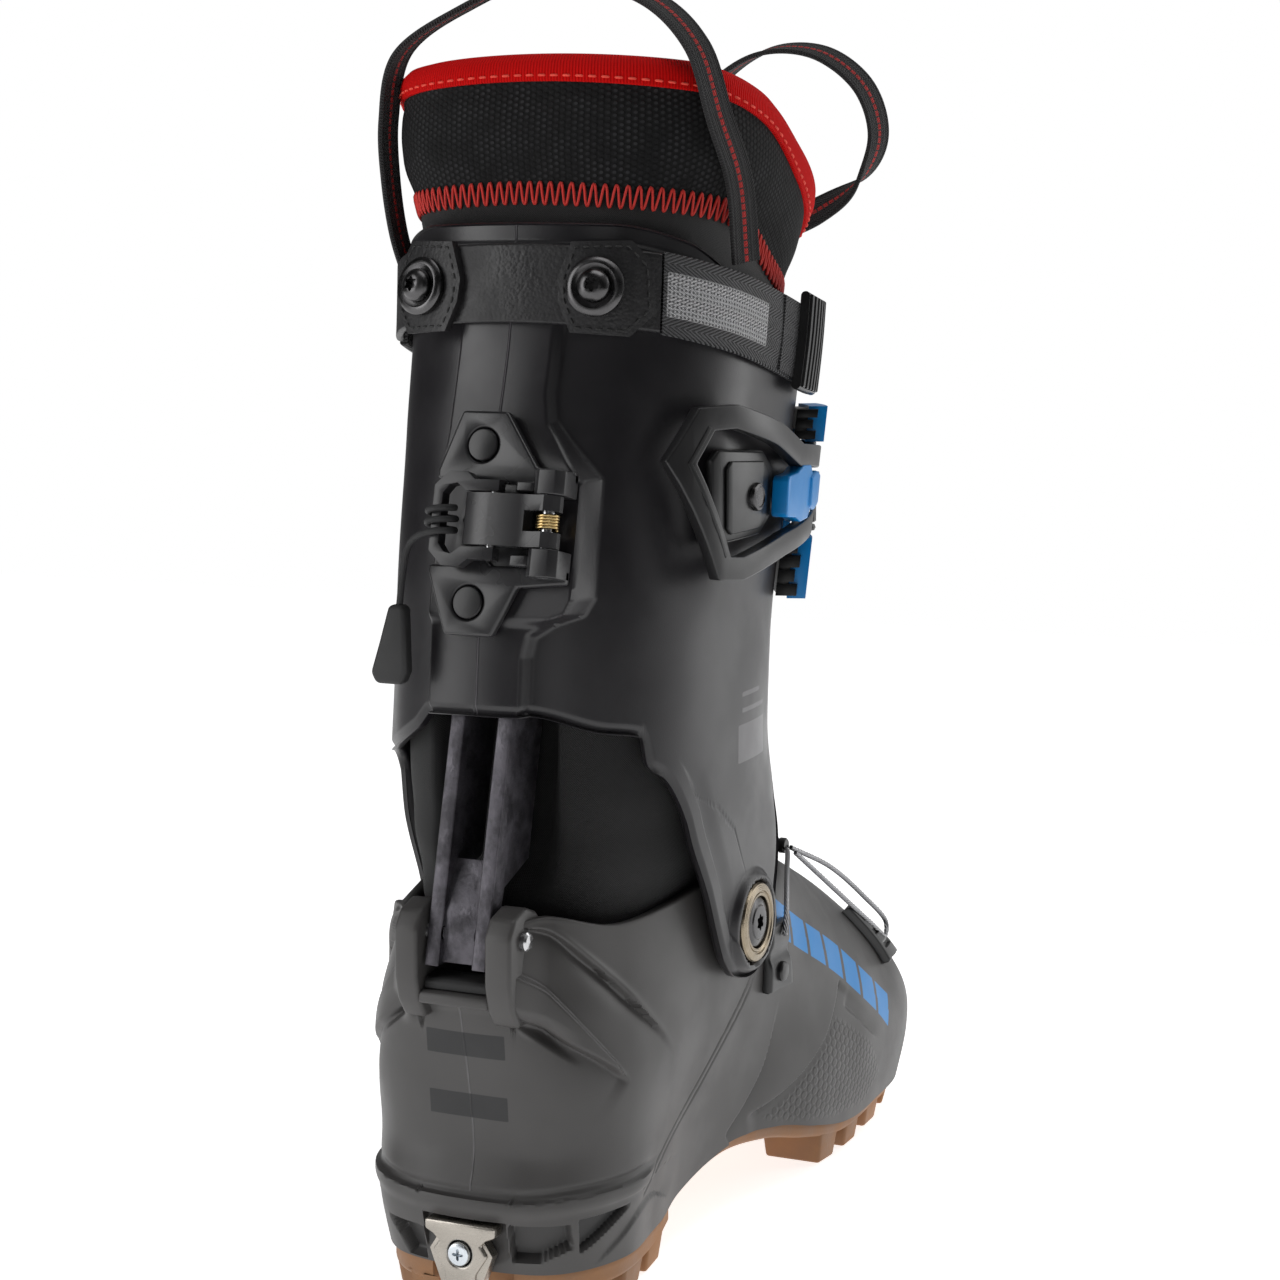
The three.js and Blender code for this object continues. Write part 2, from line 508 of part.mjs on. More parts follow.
function powerStrap() {
  piece('strap_rear_band', bandPlate(rad(-54), rad(38), 12, -STRAP_HALF + 1, STRAP_HALF - 1, 0.6, 3), 'black');
  piece('power_strap', bandPlate(rad(41), rad(301), 29, -STRAP_HALF, STRAP_HALF, 0.6, 3), 'fabric');
  piece('strap_end', bandPlate(rad(98), rad(122), 6, -STRAP_HALF - 3, STRAP_HALF + 3, 3.4, 6.4), 'black');
  strapFixing(1, 'lateral');
  strapFixing(-1, 'medial');
}

// ---------------------------------------------------------------- walk lever on the cuff's back
// Local frame: x lateral, z up along the leaning spine, y = 0 on the spine's face and -y away from it.
const leverGroup = new THREE.Group();
leverGroup.position.copy(LEVER_ORIGIN);
leverGroup.rotation.x = LEVER_TILT;
group.add(leverGroup);
const LEVER_PIN = { x: 24.5, y: -8 };
const CLAW_PIN = { x: 7, y: -8 };

function leverBracket() {
  const upper = prismY([[-8.8, 32.4], [-15, 15], [-15, 11.5], [29.3, 11.5], [29.3, 15.5], [17, 16.5], [6, 32.4]], -3.2, -0.2);
  const lower = prismY([[-8, -33], [-15, -15.5], [-15, -12.5], [29.3, -12.5], [29.3, -17], [14, -18.5], [7.3, -33]].reverse(),
    -3.2, -0.2);
  const bridge = box(-3, 16, -2.4, -0.2, -13, 12);
  const ear = (low, high) => prismZ([[19.9, -0.4], [29.3, -0.4], [29.3, -9], [27, -11.6], [22, -11.6], [19.9, -9]].reverse(),
    low, high);
  const pinHole = cylinderZ(2.2, -30, 30, LEVER_PIN.x, LEVER_PIN.y, 16);
  const rivetHole = z => cylinderY(5, -5, 1, -1.2, z);
  const pawlHole = box(-4, 4, -5, 1, -4, 4);
  return cut(join(upper, lower, bridge, ear(8.2, 14.9), ear(-15.9, -8.2)), pinHole, rivetHole(22.5), rivetHole(-23.5), pawlHole);
}

// Half height of the opening in the lever's hinge that the return spring sits in.
const SPRING_ROOM = 3;

function walkLever() {
  const barrel = cylinderZ(4, -7.5, 7.5, LEVER_PIN.x, LEVER_PIN.y);
  const band = box(CLAW_PIN.x, LEVER_PIN.x, -10.6, -6.4, -7.5, 7.5);
  const knuckle = cylinderZ(3, -7.5, 7.5, CLAW_PIN.x, CLAW_PIN.y);
  const holes = [cylinderZ(2.2, -30, 30, LEVER_PIN.x, LEVER_PIN.y), cylinderZ(1.8, -30, 30, CLAW_PIN.x, CLAW_PIN.y, 12)];
  const springNotch = [cylinderZ(4.6, -SPRING_ROOM, SPRING_ROOM, LEVER_PIN.x, LEVER_PIN.y, 24),
    box(18.5, 32, -14, -2, -SPRING_ROOM, SPRING_ROOM)];
  return cut(join(barrel, band, knuckle), ...holes, ...springNotch);
}

// Each arm of the claw runs beside the lever, from z0 to z1, out to the bar that the cord pulls.
function lockClaw() {
  const arm = (z0, z1) => [cylinderZ(3, z0, z1, CLAW_PIN.x, CLAW_PIN.y), box(-10.5, CLAW_PIN.x, -10.4, -6.4, z0, z1)];
  const tip = box(-11.5, -8.5, -10.4, -6, -11.6, 11.4);
  return cut(join(...arm(8, 11.4), ...arm(-11.6, -8), tip), cylinderZ(1.8, -30, 30, CLAW_PIN.x, CLAW_PIN.y, 12));
}

function leverParts() {
  piece('lever_bracket', leverBracket(), 'cuff', leverGroup);
  piece('bracket_rivet_upper', cylinderY(4.7, -3.9, -0.2, -1.2, 22.5), 'forged', leverGroup);
  piece('bracket_rivet_lower', cylinderY(4.7, -3.9, -0.2, -1.2, -23.5), 'forged', leverGroup);
  piece('walk_lever', walkLever(), 'cuff', leverGroup);
  piece('lever_pin', cylinderZ(1.9, -15.6, 14.6, LEVER_PIN.x, LEVER_PIN.y), 'steel', leverGroup);
  const spring = new THREE.LatheGeometry([[2.3, -2.7], [3.6, -2.7], [3.6, 2.7], [2.3, 2.7], [2.3, -2.7]]
    .map(([r, h]) => new THREE.Vector2(r, h)), 16);
  piece('lever_spring', spring.rotateX(Math.PI / 2).translate(LEVER_PIN.x, LEVER_PIN.y, 0), 'brass', leverGroup);
  piece('lock_claw', lockClaw(), 'cuff', leverGroup);
  piece('claw_pin', cylinderZ(1.5, -11.4, 11.2, CLAW_PIN.x, CLAW_PIN.y, 12), 'steel', leverGroup);
  const pawl = join(cylinderY(3, -2.6, 8.2, 0, 0, 16), cylinderY(3.7, -4.6, -2.6, 0, 0, 16));
  piece('lock_pawl', pawl, 'steel', leverGroup);
}

// Cord from the claw's tip, over the spine's shoulder and down to its rubber tab.
const CORD_ROUTE = [[-14.6, -131.5, 231.8], [-16.8, -132.6, 231.6], [-18.9, -133.2, 229], [-20, -133.5, 224.5],
  [-20.7, -133.7, 219], [-21.3, -133.9, 213.5], [-21.7, -134, 209.2]];
const CORD_RADIUS = 1;

function pullCord() {
  piece('pull_cord', tube(CORD_ROUTE.map(p => v3(...p)), CORD_RADIUS, 8, 10), 'black');
  const outline = [[-24.6, 208.8], [-19, 208.8], [-18.6, 190], [-20.4, 187.2], [-28.9, 187.2], [-30.4, 190]];
  piece('pull_tab', prismY(outline.slice().reverse(), -136, -131.6), 'black');
}

// ---------------------------------------------------------------- buckle on the lateral side of the cuff
// Outline [u, z] laid on the cuff, from one height off its face to another; place(u, z, out) finds points.
function onCuff(outline, near, far, place, longest) {
  const points = [];
  outline.forEach(([y, z], i) => {
    const [yNext, zNext] = outline[(i + 1) % outline.length];
    const parts = Math.max(1, Math.round(Math.abs(yNext - y) / longest));
    for (let k = 0; k < parts; k++) points.push([lerp(y, yNext, k / parts), lerp(z, zNext, k / parts)]);
  });
  const geometry = new THREE.ExtrudeGeometry(flatShape(points), { depth: far - near, bevelEnabled: false });
  const position = geometry.attributes.position;
  for (let i = 0; i < position.count; i++) {
    const p = place(position.getX(i), position.getY(i), near + position.getZ(i));
    position.setXYZ(i, p.x, p.y, p.z);
  }
  return geometry;
}

const onSide = (outline, near, far, longest = 7) => onCuff(outline, near, far, offSide, longest);
const onFront = (outline, near, far) => onCuff(outline, near, far, (u, z, out) => offAngle(rad(u), z, out), 5);

const BUCKLE_PIN_Y = 3;
const LINK_PIN_Y = -19;
const LEVER_OUT = 5.4;

// Centre line [y, z] of the open frame: front end of the upper arm, round the finger loop, lower arm.
const FRAME_LINE = [[4.6, 246.5], [-12, 248.2], [-34, 250.2], [-53, 258], [-74, 264], [-84, 263.7], [-92, 251.5],
  [-80.5, 219.6], [-72, 218.8], [-44.5, 223.4], [-14, 226.8], [4.6, 228.5]];
const FRAME_HALF_WIDTH = 3.4;

function buckleLever() {
  const line = FRAME_LINE.map(([y, z]) => new THREE.Vector2(y, z));
  const stations = [];
  line.forEach((p, i) => {
    const before = p.clone().sub(line[Math.max(i - 1, 0)]).normalize();
    const after = line[Math.min(i + 1, line.length - 1)].clone().sub(p).normalize();
    const along = before.clone().add(after).normalize();
    const mitre = FRAME_HALF_WIDTH / Math.max(along.dot(after.length() > 0 ? after : before), 0.6);
    stations.push({ p, side: new THREE.Vector2(-along.y, along.x).multiplyScalar(mitre) });
  });
  const grid = out => stations.flatMap((station, i) => {
    const next = stations[i + 1] ?? station;
    const parts = Math.max(1, Math.round(station.p.distanceTo(next.p) / 12));
    return range(0, 1, parts).slice(0, next === station ? 1 : parts).map(t => {
      const p = station.p.clone().lerp(next.p, t);
      const side = station.side.clone().lerp(next.side, t);
      return [offSide(p.x - side.x, p.y - side.y, out), offSide(p.x + side.x, p.y + side.y, out)];
    });
  });
  const frame = plate(grid(LEVER_OUT + 4.4), grid(LEVER_OUT));
  const pin = offSide(BUCKLE_PIN_Y, 240, LEVER_OUT + 2.2);
  const barrels = [cylinderZ(3.1, 225.5, 231.5, pin.x, pin.y), cylinderZ(3.1, 243.5, 249.5, pin.x, pin.y)];
  return cut(join(frame, ...barrels), cylinderZ(1.5, 200, 280, pin.x, pin.y, 12));
}

function buckleParts() {
  const pin = offSide(BUCKLE_PIN_Y, 240, LEVER_OUT + 2.2);
  const linkPin = offSide(LINK_PIN_Y, 240, LEVER_OUT + 2.2);
  const base = onSide([[-79, 226], [-52, 227], [-44, 232], [-44, 247], [-52, 252.5], [-79, 254]], 1.4, 4.6);
  const rivetSpot = offSide(-58, 239, 0);
  piece('buckle_base', cut(base, cylinderX(4.6, 40, 70, rivetSpot.y, 239)), 'black');
  piece('buckle_base_rivet', cylinderX(4.3, rivetSpot.x + 0.7, rivetSpot.x + 5.2, rivetSpot.y, 239), 'black');
  piece('buckle_lever', buckleLever(), 'cuff');
  piece('buckle_pin', cylinderZ(1.2, 217, 256, pin.x, pin.y, 12), 'steel');
  piece('link_pin', cylinderZ(1, 231, 244.5, linkPin.x, linkPin.y, 12), 'steel');
  const linkShape = onSide([[-42, 233], [-30, 233], [-24, 235.5], [-14, 235.5], [-9, 232], [-4, 232], [-4, 242.5],
    [-9, 242.5], [-14, 240.5], [-24, 240.5], [-30, 244], [-42, 244]], LEVER_OUT - 0.6, LEVER_OUT + 4.8);
  piece('buckle_link', cut(linkShape, cylinderZ(1.3, 200, 280, linkPin.x, linkPin.y, 12)), 'blue');
  const finger = (z0, z1) => onFront([[128, z0], [143, z0], [143, z1], [128, z1]], 0.8, 10.4);
  const spine = onFront([[131, 215], [141, 215], [141, 256], [131, 256]], 0.6, 2.8);
  piece('buckle_rack', cut(join(finger(203, 222), finger(252.3, 263), spine),
    cylinderZ(1.5, 216.5, 256.5, pin.x, pin.y, 12)), 'blue');
}

// ---------------------------------------------------------------- instep closure on the lower shell
// Point off the lower shell: ring height v, fraction u round the outline, and distance out.
function offShell(u, v, out) {
  const ring = insetRing(SHELL_RINGS, v, 500, -out);
  return ring[Math.round(u * 500)];
}

function shellPatch(u0, u1, v0, v1, near, far) {
  const columns = out => range(u0, u1, 4).map(u => range(v0, v1, 3).map(v => offShell(u, v, out)));
  return plate(columns(far), columns(near));
}

// Thin waterproof cover that closes the throat of the shell just under its rim.
const gaiterHalf = smoothTable([[-20, 37.5], [0, 28.5], [20, 19.5], [42, 11.5], [58, 3.5]]);
const gaiterEdge = smoothTable([[-20, 113], [20, 109.5], [42, 102], [58, 95.5]]);
const gaiterRidge = smoothTable([[-20, 119], [5, 118], [25, 110.5], [42, 103.5], [58, 96]]);

// Path of the closure cable: hook below the ankle to the lever, and a loop from the lever round the guide.
const CABLE_REAR = [[27.4, 46.8, 107.2], [33, 34, 108.6], [41.5, 12, 106.5], [48.6, -6, 97.5], [50, -10.5, 92]];
const CABLE_FRONT = [[27.4, 51, 107], [33.5, 74, 96], [38.4, 95, 81.5], [43.2, 106, 70], [44.6, 101.5, 66],
  [42.6, 91, 73], [37.5, 68, 89.5], [30, 48.9, 105.8]];
const CABLE_RADIUS = 0.8;
const INSTEP_PIN = { x: -24, z: 114.4 };

function instepClosure() {
  piece('cable_rear', tube(CABLE_REAR.map(p => v3(...p)), CABLE_RADIUS, 6, 12), 'steel');
  piece('cable_front', tube(CABLE_FRONT.map(p => v3(...p)), CABLE_RADIUS, 6, 18), 'steel');
  const channel = (route, steps) => tube(route.map(p => v3(...p)), CABLE_RADIUS + GAP + 0.1, 6, steps);
  piece('cable_guide', cut(shellPatch(0.398, 0.428, 2.75, 4.05, 0.4, 3.4), channel(CABLE_FRONT, 18)), 'black');
  piece('cable_hook', cut(shellPatch(0.252, 0.274, 3.2, 4.35, 0.7, 3.4), channel(CABLE_REAR, 12)), 'black');
  piece('cable_ferrule', cylinderX(2.7, 20.9, 26.8, 48.6, 108, 14), 'black');
  const bore = cylinderY(1.6, 30, 70, INSTEP_PIN.x, INSTEP_PIN.z, 12);
  const handle = prismY([[20.5, 106.8], [20.5, 110], [-8, 115], [-24, 116.6], [-24, 112.4], [-8, 111.8]].reverse(),
    43.6, 53.4);
  const barrel = cylinderY(2.8, 45, 52, INSTEP_PIN.x, INSTEP_PIN.z, 14);
  piece('instep_lever', cut(join(handle, barrel), cylinderY(5, 43, 44.9, INSTEP_PIN.x, INSTEP_PIN.z),
    cylinderY(5, 52.1, 54, INSTEP_PIN.x, INSTEP_PIN.z), bore), 'black');
  const footing = shellPatch(0.612, 0.668, 4.9, 5.6, 0.4, 4.4);
  const cheek = y => prismY([[-27.4, 105.6], [-27.4, 115], [-24, 117.4], [-21, 115], [-21, 105.6]].reverse(), y, y + 2.4);
  piece('instep_base', cut(join(footing, cheek(42.2), cheek(52.4)), bore), 'black');
  piece('instep_pin', cylinderY(1.3, 42, 55, INSTEP_PIN.x, INSTEP_PIN.z, 12), 'steel');
}

function instepGaiter() {
  const row = drop => y => range(-1, 1, 6).map(s => {
    const sag = (gaiterRidge(y) - gaiterEdge(y)) * s * s;
    return v3(s * gaiterHalf(y) * (s < 0 ? medialScale(y) : 1), y, gaiterRidge(y) - sag - drop);
  });
  const ys = range(-18, 57, 8);
  return plate(ys.map(row(0)), ys.map(row(1.2)));
}

// ---------------------------------------------------------------- pull loops of the liner
const REAR_LOOP = [[-52.5, -80, 315.5], [-53.5, -81, 334], [-53.4, -82, 352], [-49, -81, 371.5], [-29, -77, 385],
  [-9.5, -74, 391.5], [28, -76, 387], [49.5, -83, 371], [54.5, -77, 350], [57, -69, 333.4], [57, -63, 309]];
const FRONT_LOOP = [[-13.5, 36.8, 325], [-14, 40.5, 335], [-12, 47, 354], [6, 42, 372], [24, 38, 379], [42, 38, 377],
  [55, 42, 366], [58.5, 46, 350], [52, 46, 336], [38, 43.5, 326], [23, 38, 319]];

// The front tape lies flat on the tongue at both ends and stands on edge between them.
function frontTapeAcross(t) {
  const standing = v3(0.38, 0.88, 0.28);
  if (t < 0.25) return v3(1, 0, 0).lerp(standing, t / 0.25);
  return standing.lerp(v3(-0.6, 0.12, 0.62), Math.max(0, (t - 0.75) / 0.25));
}

function pullLoops() {
  piece('liner_loop_rear', webbing(REAR_LOOP.map(p => v3(...p)), 12, 1.4, 20, t => v3(lerp(-0.55, 0.55, t), 0.85, 0.25)), 'fabric');
  piece('liner_loop_front', webbing(FRONT_LOOP.map(p => v3(...p)), 10, 1.4, 24, frontTapeAcross), 'fabric');
}

// ---------------------------------------------------------------- metal and rubber at the heel and toe
function heelMetal() {
  const head = prismY([[-11.6, 24], [-11.6, 29.6], [11.6, 29.6], [11.6, 24], [7.5, 19.5], [7.5, 15], [3.5, 9.5],
    [-3.5, 9.5], [-7.5, 15], [-7.5, 19.5]].reverse(), -141.2, -135.5);
  piece('heel_insert', cut(head, cylinderY(3.3, -150, -130, 0, 20.2, 16)), 'steel');
  const screw = cut(cylinderY(3, -142, -135.5, 0, 20.2, 16),
    join(box(-2, 2, -145, -140.8, 19.6, 20.8), box(-0.6, 0.6, -145, -140.8, 18.2, 22.2)));
  piece('heel_insert_screw', screw, 'steel');
  piece('heel_pad', box(-10.6, 10.6, -142.5, -134, 99.3, 103.8), 'black');
}

function toeInserts() {
  const socket = new THREE.LatheGeometry([[0, 0], [4.2, 0], [4.2, 6.5], [3.2, 6.5], [0, 3.4]]
    .map(([r, h]) => new THREE.Vector2(r, h)), 20);
  piece('toe_insert_lateral', socket.clone().rotateZ(-Math.PI / 2).translate(22.8, 133, 21), 'steel');
  piece('toe_insert_medial', socket.clone().rotateZ(Math.PI / 2).translate(-26.8, 133, 21), 'steel');
}

// ---------------------------------------------------------------- assembly
piece('lower_shell', lowerShell(), 'shell');
piece('outsole_heel', outsoleHeel(), 'gum');
piece('outsole_front', outsoleFront(), 'gum');
piece('cuff', cuffShell(), 'cuff');
ankleHardware(1, 'lateral');
ankleHardware(-1, 'medial');
piece('lock_bar', lockBar(), 'forged');
piece('lock_bar_pin', cylinderX(2.5, -20.5, 21, HEEL_PIN.y, HEEL_PIN.z, 16), 'steel');
piece('liner_cuff', linerCuff(), 'fabric');
piece('liner_tongue', linerTongue(), 'fabric');
piece('liner_foot', linerFoot(), 'foam');
piece('boot_board', innerBoard(FLOOR_Z + GAP, FLOOR_Z + 5, 1.5), 'foam');
piece('footbed', footbed(), 'foam');
piece('instep_gaiter', instepGaiter(), 'black');
powerStrap();
leverParts();
pullCord();
buckleParts();
pullLoops();
instepClosure();
heelMetal();
toeInserts();

// Put the origin under the middle of the boot; the hanging cord and its tab do not count.
const bounds = new THREE.Box3();
group.updateMatrixWorld(true);
group.traverse(mesh => {
  if (mesh.isMesh && !['pull_cord', 'pull_tab'].includes(mesh.name)) bounds.expandByObject(mesh, true);
});
const middle = bounds.getCenter(v3(0, 0, 0));
group.children.forEach(child => child.position.sub(v3(middle.x, middle.y, bounds.min.z)));

export default group;
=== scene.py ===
import json
import math

import bmesh
import bpy
import numpy as np
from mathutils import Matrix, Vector


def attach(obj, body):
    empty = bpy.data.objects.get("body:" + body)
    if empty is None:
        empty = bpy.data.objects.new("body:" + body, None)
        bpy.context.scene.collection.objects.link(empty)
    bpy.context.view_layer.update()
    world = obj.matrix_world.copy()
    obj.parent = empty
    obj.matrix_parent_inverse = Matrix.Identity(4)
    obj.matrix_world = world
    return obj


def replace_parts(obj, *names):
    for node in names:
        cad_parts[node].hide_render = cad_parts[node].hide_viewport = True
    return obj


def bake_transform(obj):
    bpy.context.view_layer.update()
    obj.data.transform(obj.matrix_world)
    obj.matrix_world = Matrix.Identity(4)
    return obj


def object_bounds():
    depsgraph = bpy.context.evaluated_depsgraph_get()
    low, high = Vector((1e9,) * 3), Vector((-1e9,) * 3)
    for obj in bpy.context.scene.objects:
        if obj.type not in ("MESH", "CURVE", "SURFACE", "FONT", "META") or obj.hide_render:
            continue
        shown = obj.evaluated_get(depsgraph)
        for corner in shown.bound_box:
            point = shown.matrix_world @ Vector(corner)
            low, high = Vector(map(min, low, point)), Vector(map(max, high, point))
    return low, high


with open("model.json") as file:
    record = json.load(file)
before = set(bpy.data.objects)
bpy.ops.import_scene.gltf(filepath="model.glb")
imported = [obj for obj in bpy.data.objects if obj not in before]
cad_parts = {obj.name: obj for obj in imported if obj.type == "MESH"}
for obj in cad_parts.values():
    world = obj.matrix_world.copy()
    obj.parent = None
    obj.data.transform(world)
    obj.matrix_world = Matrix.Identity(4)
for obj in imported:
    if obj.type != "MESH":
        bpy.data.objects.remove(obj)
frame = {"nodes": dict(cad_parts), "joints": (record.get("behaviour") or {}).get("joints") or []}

CAD_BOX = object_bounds()
SIDES = ((1, "lateral"), (-1, "medial"))
JOINTS = {joint["name"]: joint for joint in frame["joints"]}

# Lengths below are millimetres in the part's own frame before it was centred; SHIFT centres it.
PIVOT = np.array([0.0, -42.0, 103.6])
SHIFT = np.array(JOINTS["cuff_flex"]["pos_m"]) * 1000 - PIVOT


def to_scene(points):
    return (np.asarray(points, float) + SHIFT) / 1000


# ------------------------------------------------------------------ camera
CAMERA_PLACE = [370, -812, 307]
CAMERA_YAW, CAMERA_PITCH = math.radians(24.9), math.radians(7.8)
CAMERA_LENS = 76.2


def make_camera():
    data = bpy.data.cameras.new("camera")
    data.lens = CAMERA_LENS
    data.sensor_width = 36
    camera = bpy.data.objects.new("camera", data)
    bpy.context.scene.collection.objects.link(camera)
    level_part = math.cos(CAMERA_PITCH)
    direction = Vector((-math.sin(CAMERA_YAW) * level_part, math.cos(CAMERA_YAW) * level_part,
                        -math.sin(CAMERA_PITCH)))
    camera.location = Vector(to_scene(CAMERA_PLACE))
    camera.rotation_euler = direction.to_track_quat("-Z", "Y").to_euler()
    bpy.context.scene.camera = camera


make_camera()


# ------------------------------------------------------------------ numbers
def smoothstep(x, low, high):
    t = np.clip((np.asarray(x, float) - low) / (high - low), 0, 1)
    return t * t * (3 - 2 * t)


def lerp(a, b, t):
    return a + (b - a) * t


def unit(vectors):
    """Vectors of length one, row by row."""
    vectors = np.asarray(vectors, float)
    return vectors / np.linalg.norm(vectors, axis=-1, keepdims=True)


def arc_lengths(points):
    """Distance along a path at each of its points."""
    return np.concatenate([[0], np.cumsum(np.linalg.norm(np.diff(points, axis=0), axis=1))])


def along_path(at, lengths, path):
    """Points of a path at the given distances along it."""
    return np.stack([np.interp(at, lengths, path[:, k]) for k in range(3)], axis=1)


def polygon_points(radius, corners):
    """Points of a regular polygon, counted from the first axis."""
    return [(radius * math.cos(t), radius * math.sin(t)) for t in np.linspace(0, 2 * np.pi, corners,
                                                                              endpoint=False)]


def smooth_table(points):
    """Monotone cubic through (x, y) points in rising x, level beyond both ends."""
    xs = np.array([p[0] for p in points], float)
    ys = np.array([p[1] for p in points], float)
    steps = np.diff(ys) / np.diff(xs)
    slopes = np.zeros(len(xs))
    for i in range(1, len(xs) - 1):
        a, b = steps[i - 1], steps[i]
        slopes[i] = 0 if a * b <= 0 else 2 * a * b / (a + b)

    def value(x):
        x = np.clip(np.asarray(x, float), xs[0], xs[-1])
        i = np.clip(np.searchsorted(xs, x, side="right") - 1, 0, len(xs) - 2)
        width = xs[i + 1] - xs[i]
        t = (x - xs[i]) / width
        rise = (2 * t**3 - 3 * t**2 + 1) * ys[i] + (3 * t**2 - 2 * t**3) * ys[i + 1]
        return rise + (t**3 - 2 * t**2 + t) * width * slopes[i] + (t**3 - t**2) * width * slopes[i + 1]

    return value


def centripetal(points, steps):
    """Points of a centripetal Catmull-Rom curve, spread evenly over its control points."""
    p = np.asarray(points, float)
    spans = len(p) - 1
    at = np.linspace(0, 1, steps) * spans
    i = np.minimum(np.floor(at).astype(int), spans - 1)
    ends = np.vstack([2 * p[0] - p[1], p, 2 * p[-1] - p[-2]])
    return catmull_span(*(ends[i + k] for k in range(4)), (at - i)[:, None])


def catmull_span(a, b, c, d, w):
    """Centripetal Catmull-Rom between b and c."""
    pairs = ((b, a), (c, b), (d, c))
    d0, d1, d2 = (np.maximum(np.linalg.norm(q - r, axis=1), 1e-6)[:, None] ** 0.5 for q, r in pairs)
    m1 = ((b - a) / d0 - (c - a) / (d0 + d1) + (c - b) / d1) * d1
    m2 = ((c - b) / d1 - (d - b) / (d1 + d2) + (d - c) / d2) * d1
    return b + m1 * w + (-3 * b + 3 * c - 2 * m1 - m2) * w**2 + (2 * b - 2 * c + m1 + m2) * w**3


def resample(points, count):
    """Evenly spaced points along a smooth curve through the given ones."""
    fine = centripetal(points, 40 * len(points))
    lengths = arc_lengths(fine)
    return along_path(np.linspace(0, lengths[-1], count), lengths, fine)


def to_polyline(points, line):
    """Distance to a 3-D polyline, how far along it the nearest point is (0 to 1), and the same in mm."""
    line = np.asarray(line, float)
    lengths = arc_lengths(line)
    best = np.full(len(points), 1e9)
    along = np.zeros(len(points))
    for k in range(len(line) - 1):
        a, b = line[k], line[k + 1]
        t = np.clip(((points - a) @ (b - a)) / ((b - a) @ (b - a)), 0, 1)
        d = np.linalg.norm(points - (a + t[:, None] * (b - a)), axis=1)
        near = d < best
        best[near] = d[near]
        along[near] = (lengths[k] + t * (lengths[k + 1] - lengths[k]))[near]
    return best, along / lengths[-1], along


def in_polygon(x, y, polygon):
    """Signed distance to a polygon's edge: positive inside."""
    inside = np.zeros(x.shape, bool)
    distance = np.full(x.shape, 1e9)
    for (x0, y0), (x1, y1) in zip(polygon, polygon[1:] + polygon[:1]):
        if y0 != y1:
            crossing = ((y0 > y) != (y1 > y)) & (x < (x1 - x0) * (y - y0) / (y1 - y0) + x0)
            inside ^= crossing
        t = np.clip(((x - x0) * (x1 - x0) + (y - y0) * (y1 - y0)) / ((x1 - x0) ** 2 + (y1 - y0) ** 2), 0, 1)
        distance = np.minimum(distance, np.hypot(x - x0 - t * (x1 - x0), y - y0 - t * (y1 - y0)))
    return np.where(inside, distance, -distance)


# ------------------------------------------------------------------ meshes
def new_object(name, vertices, faces, material, body, smooth=35, uv=None, attributes=None):
    """A piece from millimetre vertices; smooth is the angle in degrees above which an edge stays sharp."""
    mesh = bpy.data.meshes.new(name)
    mesh.from_pydata(to_scene(vertices).tolist(), [], faces)
    for key, values in (attributes or {}).items():
        values = np.asarray(values, np.float32)
        kind = "FLOAT_VECTOR" if values.ndim == 2 else "FLOAT"
        layer = mesh.attributes.new(key, kind, "POINT")
        layer.data.foreach_set("vector" if values.ndim == 2 else "value", values.ravel())
    if uv is not None:
        layer = mesh.uv_layers.new(name="UVMap")
        loops = np.zeros(len(mesh.loops), np.int32)
        mesh.loops.foreach_get("vertex_index", loops)
        layer.data.foreach_set("uv", np.asarray(uv, np.float32)[loops].ravel())
    look, slot = MATERIALS[material]
    mesh.materials.append(look)
    finish_mesh(mesh, smooth)
    obj = bpy.data.objects.new(name, mesh)
    bpy.context.scene.collection.objects.link(obj)
    if body:
        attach(obj, body)
    return obj


def finish_mesh(mesh, smooth):
    mesh.shade_smooth()
    if smooth < 180:
        mesh.set_sharp_from_angle(angle=math.radians(smooth))


def fix_normals(obj):
    bm = bmesh.new()
    bm.from_mesh(obj.data)
    bmesh.ops.recalc_face_normals(bm, faces=bm.faces)
    bm.to_mesh(obj.data)
    bm.free()
    return obj


def grid_faces(rows, columns, close_rows=False, close_columns=False):
    """Quads of a rows x columns grid of vertices, row by row."""
    i = np.arange(rows if close_rows else rows - 1)[:, None]
    j = np.arange(columns if close_columns else columns - 1)[None, :]
    i2, j2 = (i + 1) % rows, (j + 1) % columns
    return np.stack([i * columns + j, i * columns + j2, i2 * columns + j2, i2 * columns + j],
                    axis=-1).reshape(-1, 4)


def tube_faces(rows, columns, closed=False):
    """Quads of a tube of closed rows, with a cap at each end unless the tube closes on itself."""
    faces = grid_faces(rows, columns, closed, True).tolist()
    if not closed:
        faces.append(list(range(columns))[::-1])
        faces.append([(rows - 1) * columns + k for k in range(columns)])
    return faces


def prism_faces(count):
    """Faces of a prism: the lower outline's vertices first, then the upper one's."""
    sides = [[k, (k + 1) % count, (k + 1) % count + count, k + count] for k in range(count)]
    return [list(range(count))[::-1], list(range(count, 2 * count))] + sides


def thick_sheet_faces(rows, columns):
    """Faces of a grid sheet, its underside and the rim that joins them."""
    count = rows * columns
    upper = grid_faces(rows, columns).tolist()
    rim = list(range(columns)) + [r * columns + columns - 1 for r in range(1, rows)]
    rim += [(rows - 1) * columns + k for k in range(columns - 2, -1, -1)]
    rim += [r * columns for r in range(rows - 2, 0, -1)]
    edge = [[b, a, a + count, b + count] for a, b in zip(rim, rim[1:] + rim[:1])]
    return upper + [[k + count for k in face[::-1]] for face in upper] + edge


